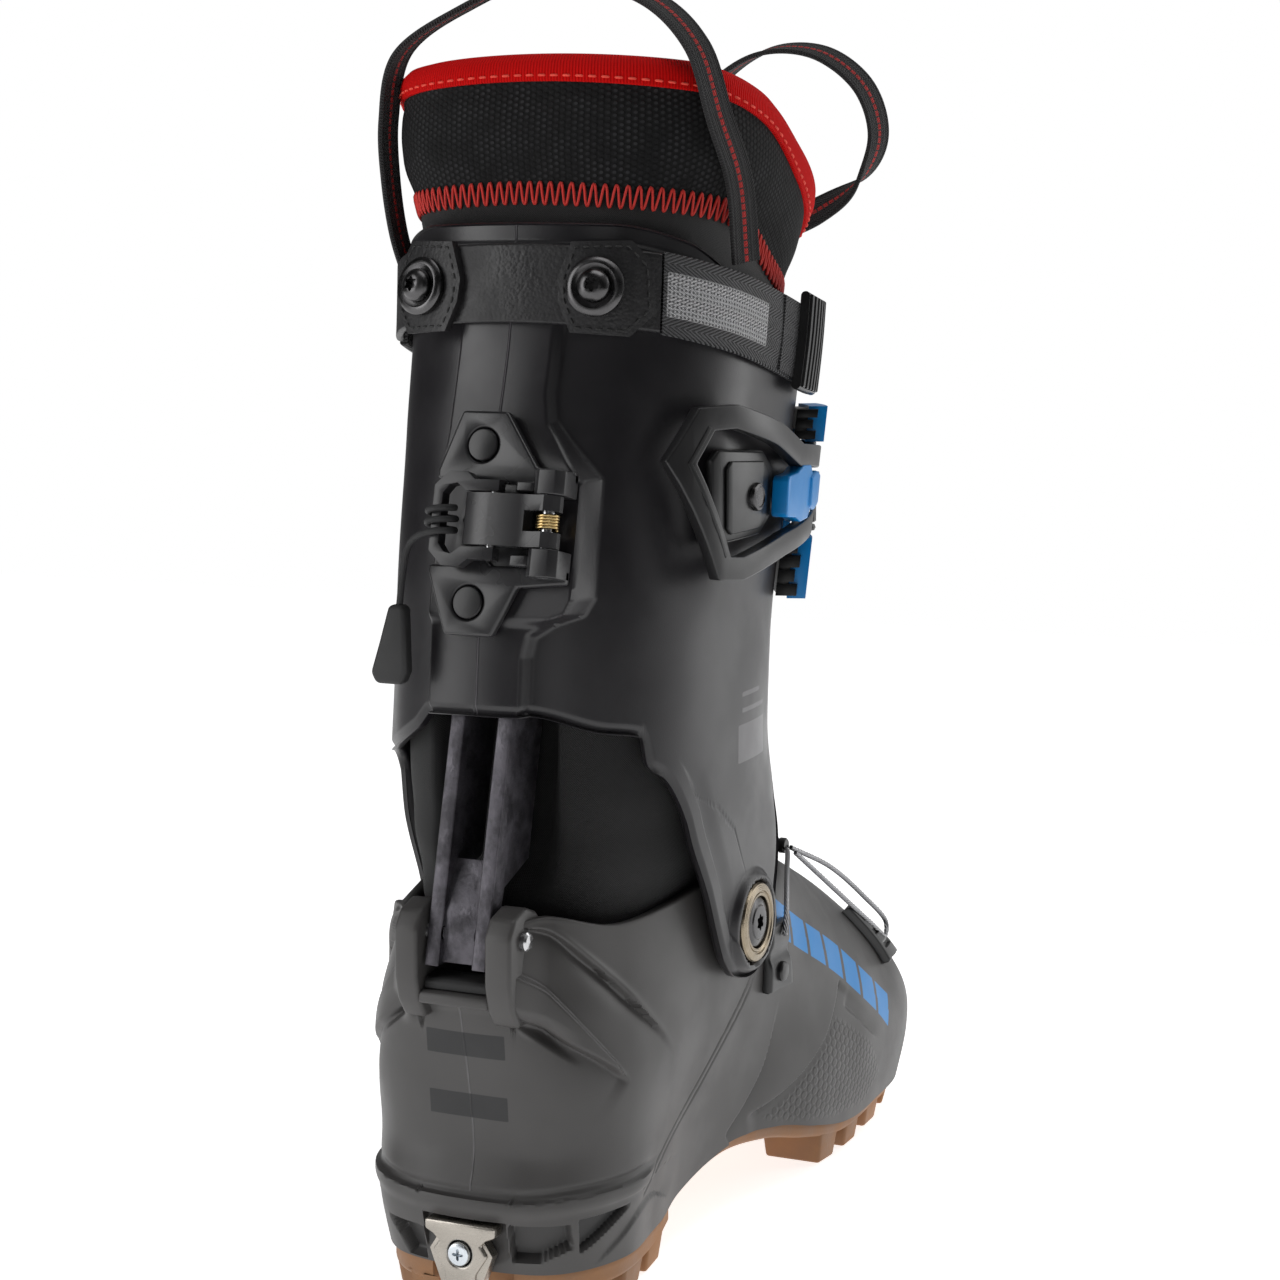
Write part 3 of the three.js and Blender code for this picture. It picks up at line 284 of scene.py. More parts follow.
def rim_arc(radius):
    """Rise and inset of three points round a quarter circle, from its start to its top."""
    return [(radius * math.sin(a), radius * (1 - math.cos(a))) for a in np.radians([30, 60, 90])]


def apply_modifiers(obj):
    graph = bpy.context.evaluated_depsgraph_get()
    mesh = bpy.data.meshes.new_from_object(obj.evaluated_get(graph))
    obj.modifiers.clear()
    obj.data = mesh
    return obj


def bevelled(obj, width, segments=3, angle=30, smooth=35):
    modifier = obj.modifiers.new("bevel", "BEVEL")
    modifier.width = width / 1000
    modifier.segments = segments
    modifier.limit_method = "ANGLE"
    modifier.angle_limit = math.radians(angle)
    apply_modifiers(obj)
    finish_mesh(obj.data, smooth)
    return obj


def boolean(obj, tools, operation="DIFFERENCE"):
    for tool in tools:
        modifier = obj.modifiers.new("boolean", "BOOLEAN")
        modifier.operation = operation
        modifier.solver = "EXACT"
        modifier.object = tool
        apply_modifiers(obj)
        bpy.data.objects.remove(tool)
    return obj


def prism(name, outline, low, high, place, material, body, bevel=0.5, holes=(), smooth=35, segments=3):
    """Extruded outline of (a, b) points from low to high; place maps (a, b, height) arrays to millimetres."""
    points = prism_points(outline, low, high, place)
    obj = fix_normals(new_object(name, points, prism_faces(len(outline)), material, body, smooth))
    if holes:
        boolean(obj, holes)
    if bevel:
        bevelled(obj, bevel, segments, smooth=smooth)
    return obj


def prism_points(outline, low, high, place):
    a, b = np.tile(np.asarray(outline, float), (2, 1)).T
    return place(a, b, np.repeat([float(low), float(high)], len(outline)))


def along_x(a, b, h):
    """Outline (y, z), height along X."""
    return np.stack([h, a, b], axis=1)


def along_y(a, b, h):
    """Outline (x, z), height along Y."""
    return np.stack([a, h, b], axis=1)


def along_z(a, b, h):
    """Outline (x, y), height along Z."""
    return np.stack([a, b, h], axis=1)


def rectangle(a0, a1, b0, b1):
    return [(a0, b0), (a1, b0), (a1, b1), (a0, b1)]


def axis_frame(origin, axis):
    """Place for shapes that stand on an axis: two directions across it, then height along it."""
    axis = unit(axis)
    side = np.array([0, 1.0, 0]) if abs(axis[2]) > 0.95 else np.array([0, 0, 1.0])
    across = unit(side - (side @ axis) * axis)
    third = np.cross(axis, across)
    return lambda a, b, h: np.asarray(origin) + np.outer(a, across) + np.outer(b, third) + np.outer(h, axis)


def lathe(name, profile, origin, axis, material, body, segments=48, smooth=35):
    """Turned piece; profile is (radius, height) from the axis round to the axis, or a closed ring."""
    closed = profile[0][0] > 1e-6
    angles = np.linspace(0, 2 * np.pi, segments, endpoint=False)
    r, h = np.array(profile, float).T
    r = np.maximum(r, 1e-4)
    a, b = np.outer(r, np.cos(angles)).ravel(), np.outer(r, np.sin(angles)).ravel()
    points = axis_frame(origin, axis)(a, b, np.repeat(h, segments))
    faces = tube_faces(len(profile), segments, closed)
    return fix_normals(new_object(name, points, faces, material, body, smooth))


def pin_profile(radius, low, high, chamfer):
    flat = radius - chamfer
    return [(0, low), (flat, low), (radius, low + chamfer), (radius, high - chamfer), (flat, high), (0, high)]


def tool_prism(outline, low, high, place):
    """Prism that cuts another piece and is then removed."""
    mesh = bpy.data.meshes.new("tool")
    mesh.from_pydata(to_scene(prism_points(outline, low, high, place)).tolist(), [], prism_faces(len(outline)))
    obj = bpy.data.objects.new("tool", mesh)
    bpy.context.scene.collection.objects.link(obj)
    return fix_normals(obj)


def driven_head(name, profile, origin, axis, material, body, segments, recess, floor):
    """Turned screw head with a driver recess cut down to the given height."""
    head = lathe(name, profile, origin, axis, material, body, segments)
    boolean(head, [tool_prism(recess, floor, floor + 5, axis_frame(origin, axis))])
    finish_mesh(head.data, 35)
    return head


def tool_cylinder(origin, axis, radius, low, high, sides=48):
    return tool_prism(polygon_points(radius, sides), low, high, axis_frame(origin, axis))


def sweep(name, centre, profile, across, material, body, smooth=40, twist=0.0):
    """Profile of (side, out) points carried along a path; across gives the side direction at each point."""
    centre = np.asarray(centre, float)
    tangent = unit(np.gradient(centre, axis=0))
    side = np.asarray(across, float) * np.ones_like(centre)
    side = unit(side - (side * tangent).sum(1)[:, None] * tangent)
    out = np.cross(side, tangent)
    lengths = arc_lengths(centre)
    turn = twist * lengths[:, None]
    p = np.asarray(profile, float)
    a = p[None, :, 0] * np.cos(turn) - p[None, :, 1] * np.sin(turn)
    b = p[None, :, 0] * np.sin(turn) + p[None, :, 1] * np.cos(turn)
    points = centre[:, None, :] + a[..., None] * side[:, None, :] + b[..., None] * out[:, None, :]
    rows, columns = points.shape[:2]
    uv = np.stack([np.repeat(lengths, columns), np.tile(p[:, 0], rows)], axis=1)
    faces = tube_faces(rows, columns)
    return fix_normals(new_object(name, points.reshape(-1, 3), faces, material, body, smooth, uv=uv))


def tube_side(centre):
    """A side direction that stays across a path that never runs along it."""
    mean = np.abs(np.gradient(np.asarray(centre, float), axis=0)).mean(0)
    side = np.zeros(3)
    side[int(np.argmin(mean))] = 1
    return side


# ------------------------------------------------------------------ materials
class Graph:
    """Small helper round one Principled material. Object coordinates are metres in the part's frame."""

    def __init__(self, name, colour, roughness, metallic=0.0, **sockets):
        self.material = bpy.data.materials.new(name)
        self.material.use_nodes = True
        self.tree = self.material.node_tree
        self.shader = self.tree.nodes["Principled BSDF"]
        self.colour, self.roughness, self.height = colour, roughness, None
        self.set("Base Color", (*colour, 1))
        self.set("Roughness", roughness)
        self.set("Metallic", metallic)
        for key, value in sockets.items():
            self.set(key.replace("_", " "), value)
        self.coords = self.node("TexCoord").outputs["Object"]

    def set(self, key, value):
        self.shader.inputs[key].default_value = value

    def node(self, kind, inputs=None, **settings):
        """New shader node; inputs maps its sockets to numbers or to the sockets that feed them."""
        node = self.tree.nodes.new("ShaderNode" + kind)
        for key, value in settings.items():
            setattr(node, key, value)
        for key, value in (inputs or {}).items():
            if isinstance(value, bpy.types.NodeSocket):
                self.tree.links.new(value, node.inputs[key])
            elif value is not None:
                node.inputs[key].default_value = value
        return node

    def math(self, operation, a, b=None, c=None):
        return self.node("Math", {0: a, 1: b, 2: c}, operation=operation).outputs[0]

    def attribute(self, name, output="Fac"):
        return self.node("Attribute", attribute_name=name).outputs[output]

    def separate(self, vector):
        return tuple(self.node("SeparateXYZ", {0: vector}).outputs)

    def uv(self):
        """UV in millimetres."""
        return self.separate(self.node("TexCoord").outputs["UV"])[:2]

    def noise(self, scale, detail=4.0, rough=0.55, stretch=None):
        vector = self.coords
        if stretch:
            vector = self.node("Mapping", {"Vector": vector, "Scale": stretch}).outputs[0]
        inputs = {"Vector": vector, "Scale": scale, "Detail": detail, "Roughness": rough}
        return self.node("TexNoise", inputs).outputs["Fac"]

    def cells(self, scale):
        return self.node("TexVoronoi", {"Vector": self.coords, "Scale": scale}).outputs["Distance"]

    def ramp(self, value, low, high, to_low=0.0, to_high=1.0):
        """Smooth step of a value between two levels."""
        inputs = {"Value": value, "From Min": low, "From Max": high, "To Min": to_low, "To Max": to_high}
        return self.node("MapRange", inputs, interpolation_type="SMOOTHSTEP").outputs[0]

    def wave(self, value, pitch, phase=0.0):
        """Cosine of a length with the given pitch, from -1 to 1."""
        return self.math("COSINE", self.math("MULTIPLY_ADD", value, 2 * math.pi / pitch, phase))

    def hexagons(self, a, b, pitch):
        """Hexagonal lattice of bumps over two lengths in the same unit, from about -1.5 to 3."""
        half = self.math("MULTIPLY", a, 0.5)
        tall = self.math("MULTIPLY", b, math.sqrt(3) / 2)
        waves = [self.wave(a, pitch), self.wave(self.math("ADD", half, tall), pitch),
                 self.wave(self.math("SUBTRACT", half, tall), pitch)]
        return self.math("ADD", self.math("ADD", waves[0], waves[1]), waves[2])

    def paint(self, mask, colour):
        """Lay a colour over the base colour where the mask is 1."""
        socket = self.shader.inputs["Base Color"]
        under = socket.links[0].from_socket if socket.is_linked else (*self.colour, 1)
        node = self.node("Mix", {"A": under, "B": (*colour, 1), "Factor": mask}, data_type="RGBA")
        self.tree.links.new(node.outputs["Result"], socket)

    def mottle(self, value, amount, low=0.3, high=0.7):
        """Darken and lighten the base colour by a pattern."""
        darker = tuple(c * (1 - amount) for c in self.colour)
        self.paint(self.ramp(value, high, low), darker)

    def rough(self, value, low, high, to_low, to_high):
        self.tree.links.new(self.ramp(value, low, high, to_low, to_high), self.shader.inputs["Roughness"])

    def raise_by(self, value, millimetres):
        """Add a pattern to the relief, in millimetres per unit of the pattern."""
        part = self.math("MULTIPLY", value, millimetres)
        self.height = part if self.height is None else self.math("ADD", self.height, part)

    def done(self):
        if self.height is not None:
            bump = self.node("Bump", {"Distance": 0.001, "Strength": 1.0, "Height": self.height})
            self.tree.links.new(bump.outputs[0], self.shader.inputs["Normal"])
        return self.material


def band(g, value, low, high, soft):
    """1 where value lies between low and high, with soft edges."""
    return g.math("MULTIPLY", g.ramp(value, low - soft, low), g.ramp(value, high, high + soft, 1, 0))


def moulded(g, grain=0.025, scale=2600):
    """Fine spark-eroded grain and slightly uneven gloss of moulded plastic."""
    g.raise_by(g.noise(scale, 3), grain)
    g.rough(g.noise(45, 3), 0.3, 0.7, g.roughness - 0.05, g.roughness + 0.06)
    g.mottle(g.noise(14, 3), 0.08)
    return g


BLUE = (0.001, 0.215, 0.58)


def shell_material():
    g = moulded(Graph("shell_plastic", (0.052, 0.0495, 0.0485), 0.46))
    x, y, z = g.separate(g.coords)
    panel = g.attribute("panel")
    cells = g.hexagons(g.math("MULTIPLY", y, 1000), g.math("MULTIPLY", z, 1000), 3.0)
    g.raise_by(g.math("MULTIPLY", g.ramp(cells, -1.2, 0.4), panel), 0.28)
    # The parting line is a real raised ridge; its lighter colour is a painted highlight along it.
    line = g.attribute("hairline")
    g.raise_by(g.ramp(line, 0.5, 0.05), 0.2)
    g.paint(g.ramp(line, 0.4, 0.1), (0.1, 0.097, 0.1))
    # Painted shade: the sunk heel pockets and the side triangle are painted near black where shade falls in them.
    g.paint(g.ramp(g.attribute("recess"), 0.0, 1.0, 0, 0.85), (0.004, 0.004, 0.0045))
    along, across, _ = g.separate(g.attribute("accent", "Vector"))
    slanted = g.math("ADD", along, g.math("MULTIPLY", across, 0.35))
    bars = g.math("PINGPONG", slanted, 7.5)
    mask = g.math("MULTIPLY", g.ramp(bars, 1.1, 1.35), g.math("MULTIPLY", band(g, across, -5.4, 5.4, 0.2),
                  band(g, slanted, 0, 104, 0.2)))
    g.paint(mask, BLUE)
    mark = g.attribute("heel_mark")
    g.paint(g.ramp(mark, -0.1, 0.2), (0.008, 0.008, 0.009))
    return g.done()


def cuff_material():
    g = moulded(Graph("cuff_plastic", (0.0125, 0.0115, 0.0135), 0.34))
    # The seam is a real raised ridge; its lighter colour is a painted highlight along it.
    seam = g.attribute("hairline")
    g.raise_by(g.ramp(seam, 0.5, 0.05), 0.22)
    g.paint(g.ramp(seam, 0.4, 0.1), (0.06, 0.056, 0.062))
    g.paint(g.ramp(g.attribute("label"), -0.1, 0.15), (0.1, 0.097, 0.103))
    return g.done()


def plain_plastic(name, colour, roughness, grain=0.02):
    return moulded(Graph(name, colour, roughness), grain).done()


def leather_material():
    g = Graph("band_leather", (0.011, 0.0104, 0.0115), 0.5)
    g.raise_by(g.cells(900), -0.1)
    g.raise_by(g.noise(380, 5), 0.18)
    g.rough(g.noise(60, 4), 0.3, 0.7, 0.42, 0.6)
    g.mottle(g.noise(25, 4), 0.25)
    return g.done()


def strap_material():
    g = Graph("webbing", (0.065, 0.065, 0.069), 0.6)
    u, v = g.uv()
    flip = g.math("SUBTRACT", g.math("MULTIPLY", g.math("PINGPONG", v, 3.0), 2.0), 3.0)
    twill = g.wave(g.math("ADD", u, flip), 2.0)
    g.raise_by(twill, 0.3)
    g.raise_by(g.wave(v, 0.75), 0.05)
    # Painted shade: the grooves of the twill are painted near black.
    g.paint(g.ramp(twill, 0.1, -0.8), (0.003, 0.003, 0.0035))
    where = g.attribute("patch")
    weave = g.math("MAXIMUM", g.wave(u, 1.3), g.wave(v, 1.3))
    g.paint(g.math("MULTIPLY", g.ramp(where, -0.2, 0.2), g.ramp(weave, -0.6, 0.7, 0.1, 1)), (0.45, 0.45, 0.46))
    hooks = g.attribute("velcro")
    g.raise_by(g.math("MULTIPLY", g.cells(1500), g.ramp(hooks, -0.2, 0.2)), 0.5)
    return g.done()


def tape_material(name, pitch=0.9):
    g = Graph(name, (0.013, 0.0125, 0.0135), 0.82, Sheen_Weight=0.06)
    u, v = g.uv()
    g.raise_by(g.wave(g.math("ADD", u, g.math("PINGPONG", v, 1.5)), pitch), 0.14)
    g.raise_by(g.wave(v, 1.0), 0.07)
    side = g.math("ABSOLUTE", v)
    g.paint(g.math("MULTIPLY", g.ramp(side, 0.75, 0.55), g.ramp(g.wave(u, 2.2), -1.0, -0.5)),
            (0.42, 0.012, 0.01))
    g.paint(band(g, side, 2.2, 2.7, 0.2), (0.025, 0.024, 0.025))
    return g.done()


def mesh_material():
    g = Graph("liner_mesh", (0.003, 0.003, 0.0034), 0.9, Specular_IOR_Level=0.3)
    u, v = g.uv()
    cells = g.hexagons(u, v, 1.55)
    g.raise_by(g.ramp(cells, -1.3, 1.2), 0.22)
    g.paint(g.ramp(cells, 0.2, 1.6), (0.022, 0.022, 0.0235))
    g.paint(g.ramp(cells, -0.9, -1.4), (0.001, 0.001, 0.001))
    g.mottle(g.noise(120, 4), 0.4)
    g.raise_by(g.noise(3200, 2), 0.08)
    return g.done()


def cloth_material(name, colour, pitch=0.8, roughness=0.85):
    g = Graph(name, colour, roughness, Sheen_Weight=0.03)
    u, v = g.uv()
    g.raise_by(g.math("MULTIPLY", g.wave(u, pitch), g.wave(v, pitch)), 0.1)
    g.mottle(g.noise(60, 5), 0.25)
    return g.done()


def knit_material(name, colour):
    g = Graph(name, colour, 0.9, Sheen_Weight=0.05)
    g.raise_by(g.cells(1100), 0.25)
    g.raise_by(g.noise(150, 4), 0.3)
    g.mottle(g.noise(50, 5), 0.3)
    return g.done()


def binding_material():
    g = Graph("red_binding", (0.56, 0.0006, 0.0004), 0.8, Specular_IOR_Level=0.12)
    u, v = g.uv()
    g.raise_by(g.wave(u, 0.95), 0.1)
    g.raise_by(g.noise(1500, 3), 0.05)
    # Painted shade: the grooves between the ribs are darkened.
    g.mottle(g.ramp(g.wave(u, 0.95), -1, 1), 0.22)
    return g.done()


def thread_material(name, colour):
    g = Graph(name, colour, 0.65, Sheen_Weight=0.0)
    g.raise_by(g.noise(4500, 2, stretch=(1, 3, 1)), 0.12)
    return g.done()


def rubber_material():
    g = Graph("gum_rubber", (0.33, 0.155, 0.06), 0.58)
    g.mottle(g.noise(35, 6), 0.35)
    g.raise_by(g.noise(900, 5), 0.09)
    g.rough(g.noise(70, 5), 0.3, 0.7, 0.45, 0.72)
    return g.done()


def metal_material(name, colour, roughness, stretch=(1, 1, 14), scale=420, depth=0.02, worn=0.15):
    g = Graph(name, colour, roughness, 1.0)
    brushed = g.noise(scale, 4, stretch=stretch)
    g.raise_by(brushed, depth)
    g.rough(brushed, 0.3, 0.7, roughness - 0.06, roughness + 0.1)
    g.mottle(g.noise(80, 6), worn)
    return g.done()


def forged_material():
    g = Graph("forged_alloy", (0.1, 0.094, 0.108), 0.42, 0.6)
    blotch = g.noise(130, 7, 0.62)
    g.mottle(blotch, 0.55, 0.35, 0.62)
    g.raise_by(blotch, 0.5)
    g.raise_by(g.noise(900, 4), 0.08)
    g.rough(g.noise(160, 6), 0.3, 0.7, 0.32, 0.58)
    return g.done()


def turned_material():
    """Brass-tone washer with fine turned rings about the ankle axis."""
    g = Graph("brass_ring", (0.33, 0.275, 0.2), 0.3, 1.0)
    x, y, z = g.separate(g.coords)
    axis = to_scene(PIVOT)
    dy = g.math("SUBTRACT", y, float(axis[1]))
    dz = g.math("SUBTRACT", z, float(axis[2]))
    radius = g.math("SQRT", g.math("ADD", g.math("MULTIPLY", dy, dy), g.math("MULTIPLY", dz, dz)))
    g.raise_by(g.wave(radius, 0.00055), 0.03)
    g.rough(g.noise(220, 5), 0.3, 0.7, 0.22, 0.4)
    g.mottle(g.noise(120, 5), 0.25)
    return g.done()


# Material and slot of each finish.
MATERIALS = {"shell": (shell_material(), "shell_plastic"), "cuff": (cuff_material(), "cuff_plastic"),
             "frame": (plain_plastic("lever_grey", (0.0125, 0.0122, 0.013), 0.33), "black_plastic"),
             "bracket": (plain_plastic("bracket_grey", (0.02, 0.0195, 0.021), 0.3), "black_plastic"),
             "black": (plain_plastic("black_plastic", (0.0065, 0.0065, 0.007), 0.34), "black_plastic"),
             "leather": (leather_material(), "band_leather"), "strap": (strap_material(), "webbing"),
             "tape": (tape_material("loop_tape"), "loop_webbing"), "mesh": (mesh_material(), "liner_fabric"),
             "lining": (knit_material("liner_lining", (0.02, 0.02, 0.022)), "liner_foam"),
             "sleeve": (cloth_material("ankle_sleeve", (0.0032, 0.0032, 0.0035), 0.7, 0.8), "liner_fabric"),
             "smooth_band": (cloth_material("liner_band", (0.005, 0.005, 0.0055), 0.5, 0.55), "liner_fabric"),
             "red": (binding_material(), "liner_fabric"),
             "red_thread": (thread_material("red_thread", (0.55, 0.022, 0.014)), "liner_fabric"),
             "dash_thread": (thread_material("dash_thread", (0.8, 0.06, 0.035)), "liner_fabric"),
             "black_thread": (thread_material("black_thread", (0.012, 0.012, 0.012)), "webbing"),
             "gum": (rubber_material(), "sole_rubber"),
             "rubber": (plain_plastic("dark_rubber", (0.012, 0.012, 0.0125), 0.62, 0.05), "dark_rubber"),
             "gaiter": (plain_plastic("gaiter_film", (0.01, 0.0095, 0.01), 0.22, 0.01), "gaiter_film"),
             "steel": (metal_material("insert_steel", (0.4, 0.37, 0.33), 0.3), "steel"),
             "zinc": (metal_material("screw_zinc", (0.62, 0.66, 0.7), 0.24, (1, 1, 1), 300), "screw_steel"),
             "pin": (metal_material("pin_steel", (0.55, 0.55, 0.56), 0.2, (1, 1, 1), 300), "steel"),
             "spring": (metal_material("spring_wire", (0.6, 0.44, 0.2), 0.25, (1, 1, 1), 500), "spring_wire"),
             "brass": (turned_material(), "brass_ring"), "forged": (forged_material(), "forged_alloy"),
             "dark_metal": (metal_material("dark_fastener", (0.1, 0.098, 0.1), 0.27, (1, 1, 1), 260, 0.02,
                                           0.3), "steel"),
             "blue": (plain_plastic("blue_alloy", BLUE, 0.33, 0.012), "blue_alloy"),
             "cable": (metal_material("cable_strand", (0.32, 0.32, 0.33), 0.34, (1, 1, 1), 900),
                       "cable_steel"), "cord": (thread_material("pull_cord_braid", (0.012, 0.012, 0.013)),
                                                "black_plastic"),}
# Fasteners that look like the plastic round them.
MATERIALS["rivet"] = (MATERIALS["frame"][0], "steel")
MATERIALS["pawl"] = (MATERIALS["black"][0], "steel")


# ------------------------------------------------------------------ lower shell
SHELL_RINGS = [
    [[0, -133, 10], [24, -128.5, 10], [36.5, -108, 10], [34, -62, 10], [38, -22, 10], [49, 30, 10], [50, 75, 10],
     [42, 118, 10], [-5, 143, 10]],
    [[0, -138.5, 33], [27, -132, 33], [39.5, -110, 33], [37, -62, 35], [41, -22, 38], [52, 30, 32], [53.5, 75, 30],
     [45.5, 120, 30], [-5, 147, 32]],
    [[0, -133.5, 50], [27, -129, 50], [40.5, -110, 50], [40, -60, 51], [43, -20, 52], [52, 30, 49], [53, 75, 47],
     [45, 119, 45], [-5, 145, 44]],
    [[0, -134.3, 70], [28, -130, 70], [41.5, -110, 70], [44, -60, 70], [45, -20, 70], [49, 30, 68], [48, 72, 64],
     [39, 112, 60], [-4, 137, 57]],
    [[0, -137, 90], [27, -131, 90], [40.5, -108, 90], [46, -58, 90], [46, -20, 90], [44, 28, 87], [40, 64, 81],
     [29, 100, 74], [-3, 125, 70]],
    [[0, -139, 103], [25, -131, 104], [38, -106, 104], [46.3, -58, 105], [45.5, -20, 106], [36, 26, 104],
     [28, 56, 97], [19, 84, 88], [-2, 105, 83]],
    [[0, -137, 113], [22, -131, 121], [36, -107, 115], [45.6, -58, 120], [43, -20, 119], [25, 20, 114],
     [17, 42, 106], [9, 58, 100], [0, 66, 97]],
]
MIDDLE_X = -1
SOLE_LINE = smooth_table([(-145, 14), (-76, 14), (-62, 18.5), (-42, 23), (-22, 25.5), (0, 23.5), (22, 18),
                          (46, 13), (60, 12), (104, 12), (126, 14), (147, 18)])


def medial_scale(y):
    return lerp(1, 0.93, smoothstep(y, -105, -10))


class RingSurface:
    """Skin through half outlines: u runs heel, lateral side, toe, medial side; v runs up through the rings."""

    def __init__(self, rings):
        half = np.array(rings, float)
        medial = half[:, 1:-1][:, ::-1].copy()
        medial[..., 0] = MIDDLE_X - (medial[..., 0] - MIDDLE_X) * medial_scale(medial[..., 1])
        self.control = np.concatenate([half, medial], axis=1)
        self.top = len(rings) - 1

    def point(self, u, v):
        i = np.clip(np.floor(v).astype(int), 0, self.top - 1)
        t = v - i
        rows = [np.clip(i + k, 0, self.top) for k in (-1, 0, 1, 2)]
        cubics = (-t + 2 * t**2 - t**3, 2 - 5 * t**2 + 3 * t**3, t + 4 * t**2 - 3 * t**3, t**3 - t**2)
        weights = [0.5 * w[:, None] for w in cubics]
        count = self.control.shape[1]
        at = (u % 1) * count
        j = np.floor(at).astype(int)
        corners = [sum(w * self.control[r, (j + m) % count] for r, w in zip(rows, weights))
                   for m in (-1, 0, 1, 2)]
        return catmull_span(*corners, (at - j)[:, None])

    def normal(self, u, v, step=0.004, rise=0.08):
        along = self.point(u + step, v) - self.point(u - step, v)
        up = self.point(u, np.minimum(v + rise, self.top)) - self.point(u, np.maximum(v - rise, 0))
        n = np.cross(along, up)
        return n / np.linalg.norm(n, axis=1)[:, None]

    def offset(self, u, v, out):
        return self.point(u, v) + self.normal(u, v) * np.reshape(out, (-1, 1))

    def height_at(self, u, target):
        """v at which the skin reaches target(y) in height."""
        low, high = np.zeros(len(u)), np.full(len(u), float(self.top))
        for _ in range(24):
            middle = (low + high) / 2
            p = self.point(u, middle)
            below = p[:, 2] < target(p[:, 1])
            low, high = np.where(below, middle, low), np.where(below, high, middle)
        return low


SHELL = RingSurface(SHELL_RINGS)


def to_lateral(points):
    """Medial points carried over to the lateral side, so one table serves both sides."""
    p = points.copy()
    medial = p[:, 0] < MIDDLE_X
    p[medial, 0] = MIDDLE_X + (MIDDLE_X - p[medial, 0]) / medial_scale(p[medial, 1])
    return p


def signed_line(points, normals, line):
    """Signed distance to a surface line (positive to the left of its run) and the fraction along it."""
    fine = centripetal(line, 8 * len(line))
    distance, fraction, along = to_polyline(points, fine)
    lengths = arc_lengths(fine)
    foot = along_path(along, lengths, fine)
    tangent = along_path(along, lengths, np.gradient(fine, axis=0))
    side = np.sign(((points - foot) * np.cross(normals, tangent)).sum(1))
    return distance * np.where(side == 0, 1, side), fraction


def ends_fade(fraction, start, end):
    return smoothstep(fraction, 0, start) * (1 - smoothstep(fraction, 1 - end, 1))


def step_down(signed, fraction, depth, fade, sharp=0.9, start=0.2, end=0.3):
    """Crease: drops sharply on the right of the line and comes back over the fade length."""
    drop = smoothstep(-signed, -sharp, sharp) * np.exp(np.minimum(signed, 0) / fade)
    beyond = np.where((fraction < 0.002) | (fraction > 0.998), 0, 1)
    return -depth * drop * ends_fade(fraction, start, end) * beyond


def groove(signed, fraction, depth, half, start=0.1, end=0.2):
    return -depth * (1 - smoothstep(np.abs(signed), half * 0.3, half)) * ends_fade(fraction, start, end)


EAR_BAND = [(15, -141, 105), (17, -139, 102), (24, -132.5, 94), (31, -127, 86.5), (37, -119, 78),
            (41, -110, 69)]
EAR_CREASE = [(19, -135, 120), (25, -128.5, 116), (31, -122, 109), (37, -113, 100), (41, -104, 90),
              (44, -92, 78), (44.5, -84, 70)]
DOUBLE_LINE = [(46, -22, 88), (45, -29, 80), (44, -46, 66), (40, -64, 50), (40, -84, 39), (40, -100, 31)]
ARC_ONE = [(46, -5, 70), (45.5, -7, 64), (44.5, -9, 57), (43, -13, 47), (41, -21, 37), (39, -32, 29)]
ARC_TWO = [(50.5, 41, 65), (51, 37, 60), (51, 30, 53), (50, 21, 46), (47, 8, 38.5), (43, -8, 32.5),
           (41, -19, 31)]
SHORT_LINE = [(52, 41, 56), (53, 50, 49.5), (53.5, 58, 43.5), (54, 70, 36)]
HEX_PANEL = [(34, 55), (46, 48), (62, 38), (76, 22), (62, 15), (34, 17), (4, 23), (-12, 28), (4, 34), (20, 43)]
ACCENT_LINE = [(44, -6, 97), (46, 14, 87), (48, 40, 73), (51, 66, 55), (52, 96, 34)]
FACET_LINE = [(34, -121, 14), (37, -112, 20), (39.5, -100, 27), (39, -88, 27), (36.5, -70, 20)]


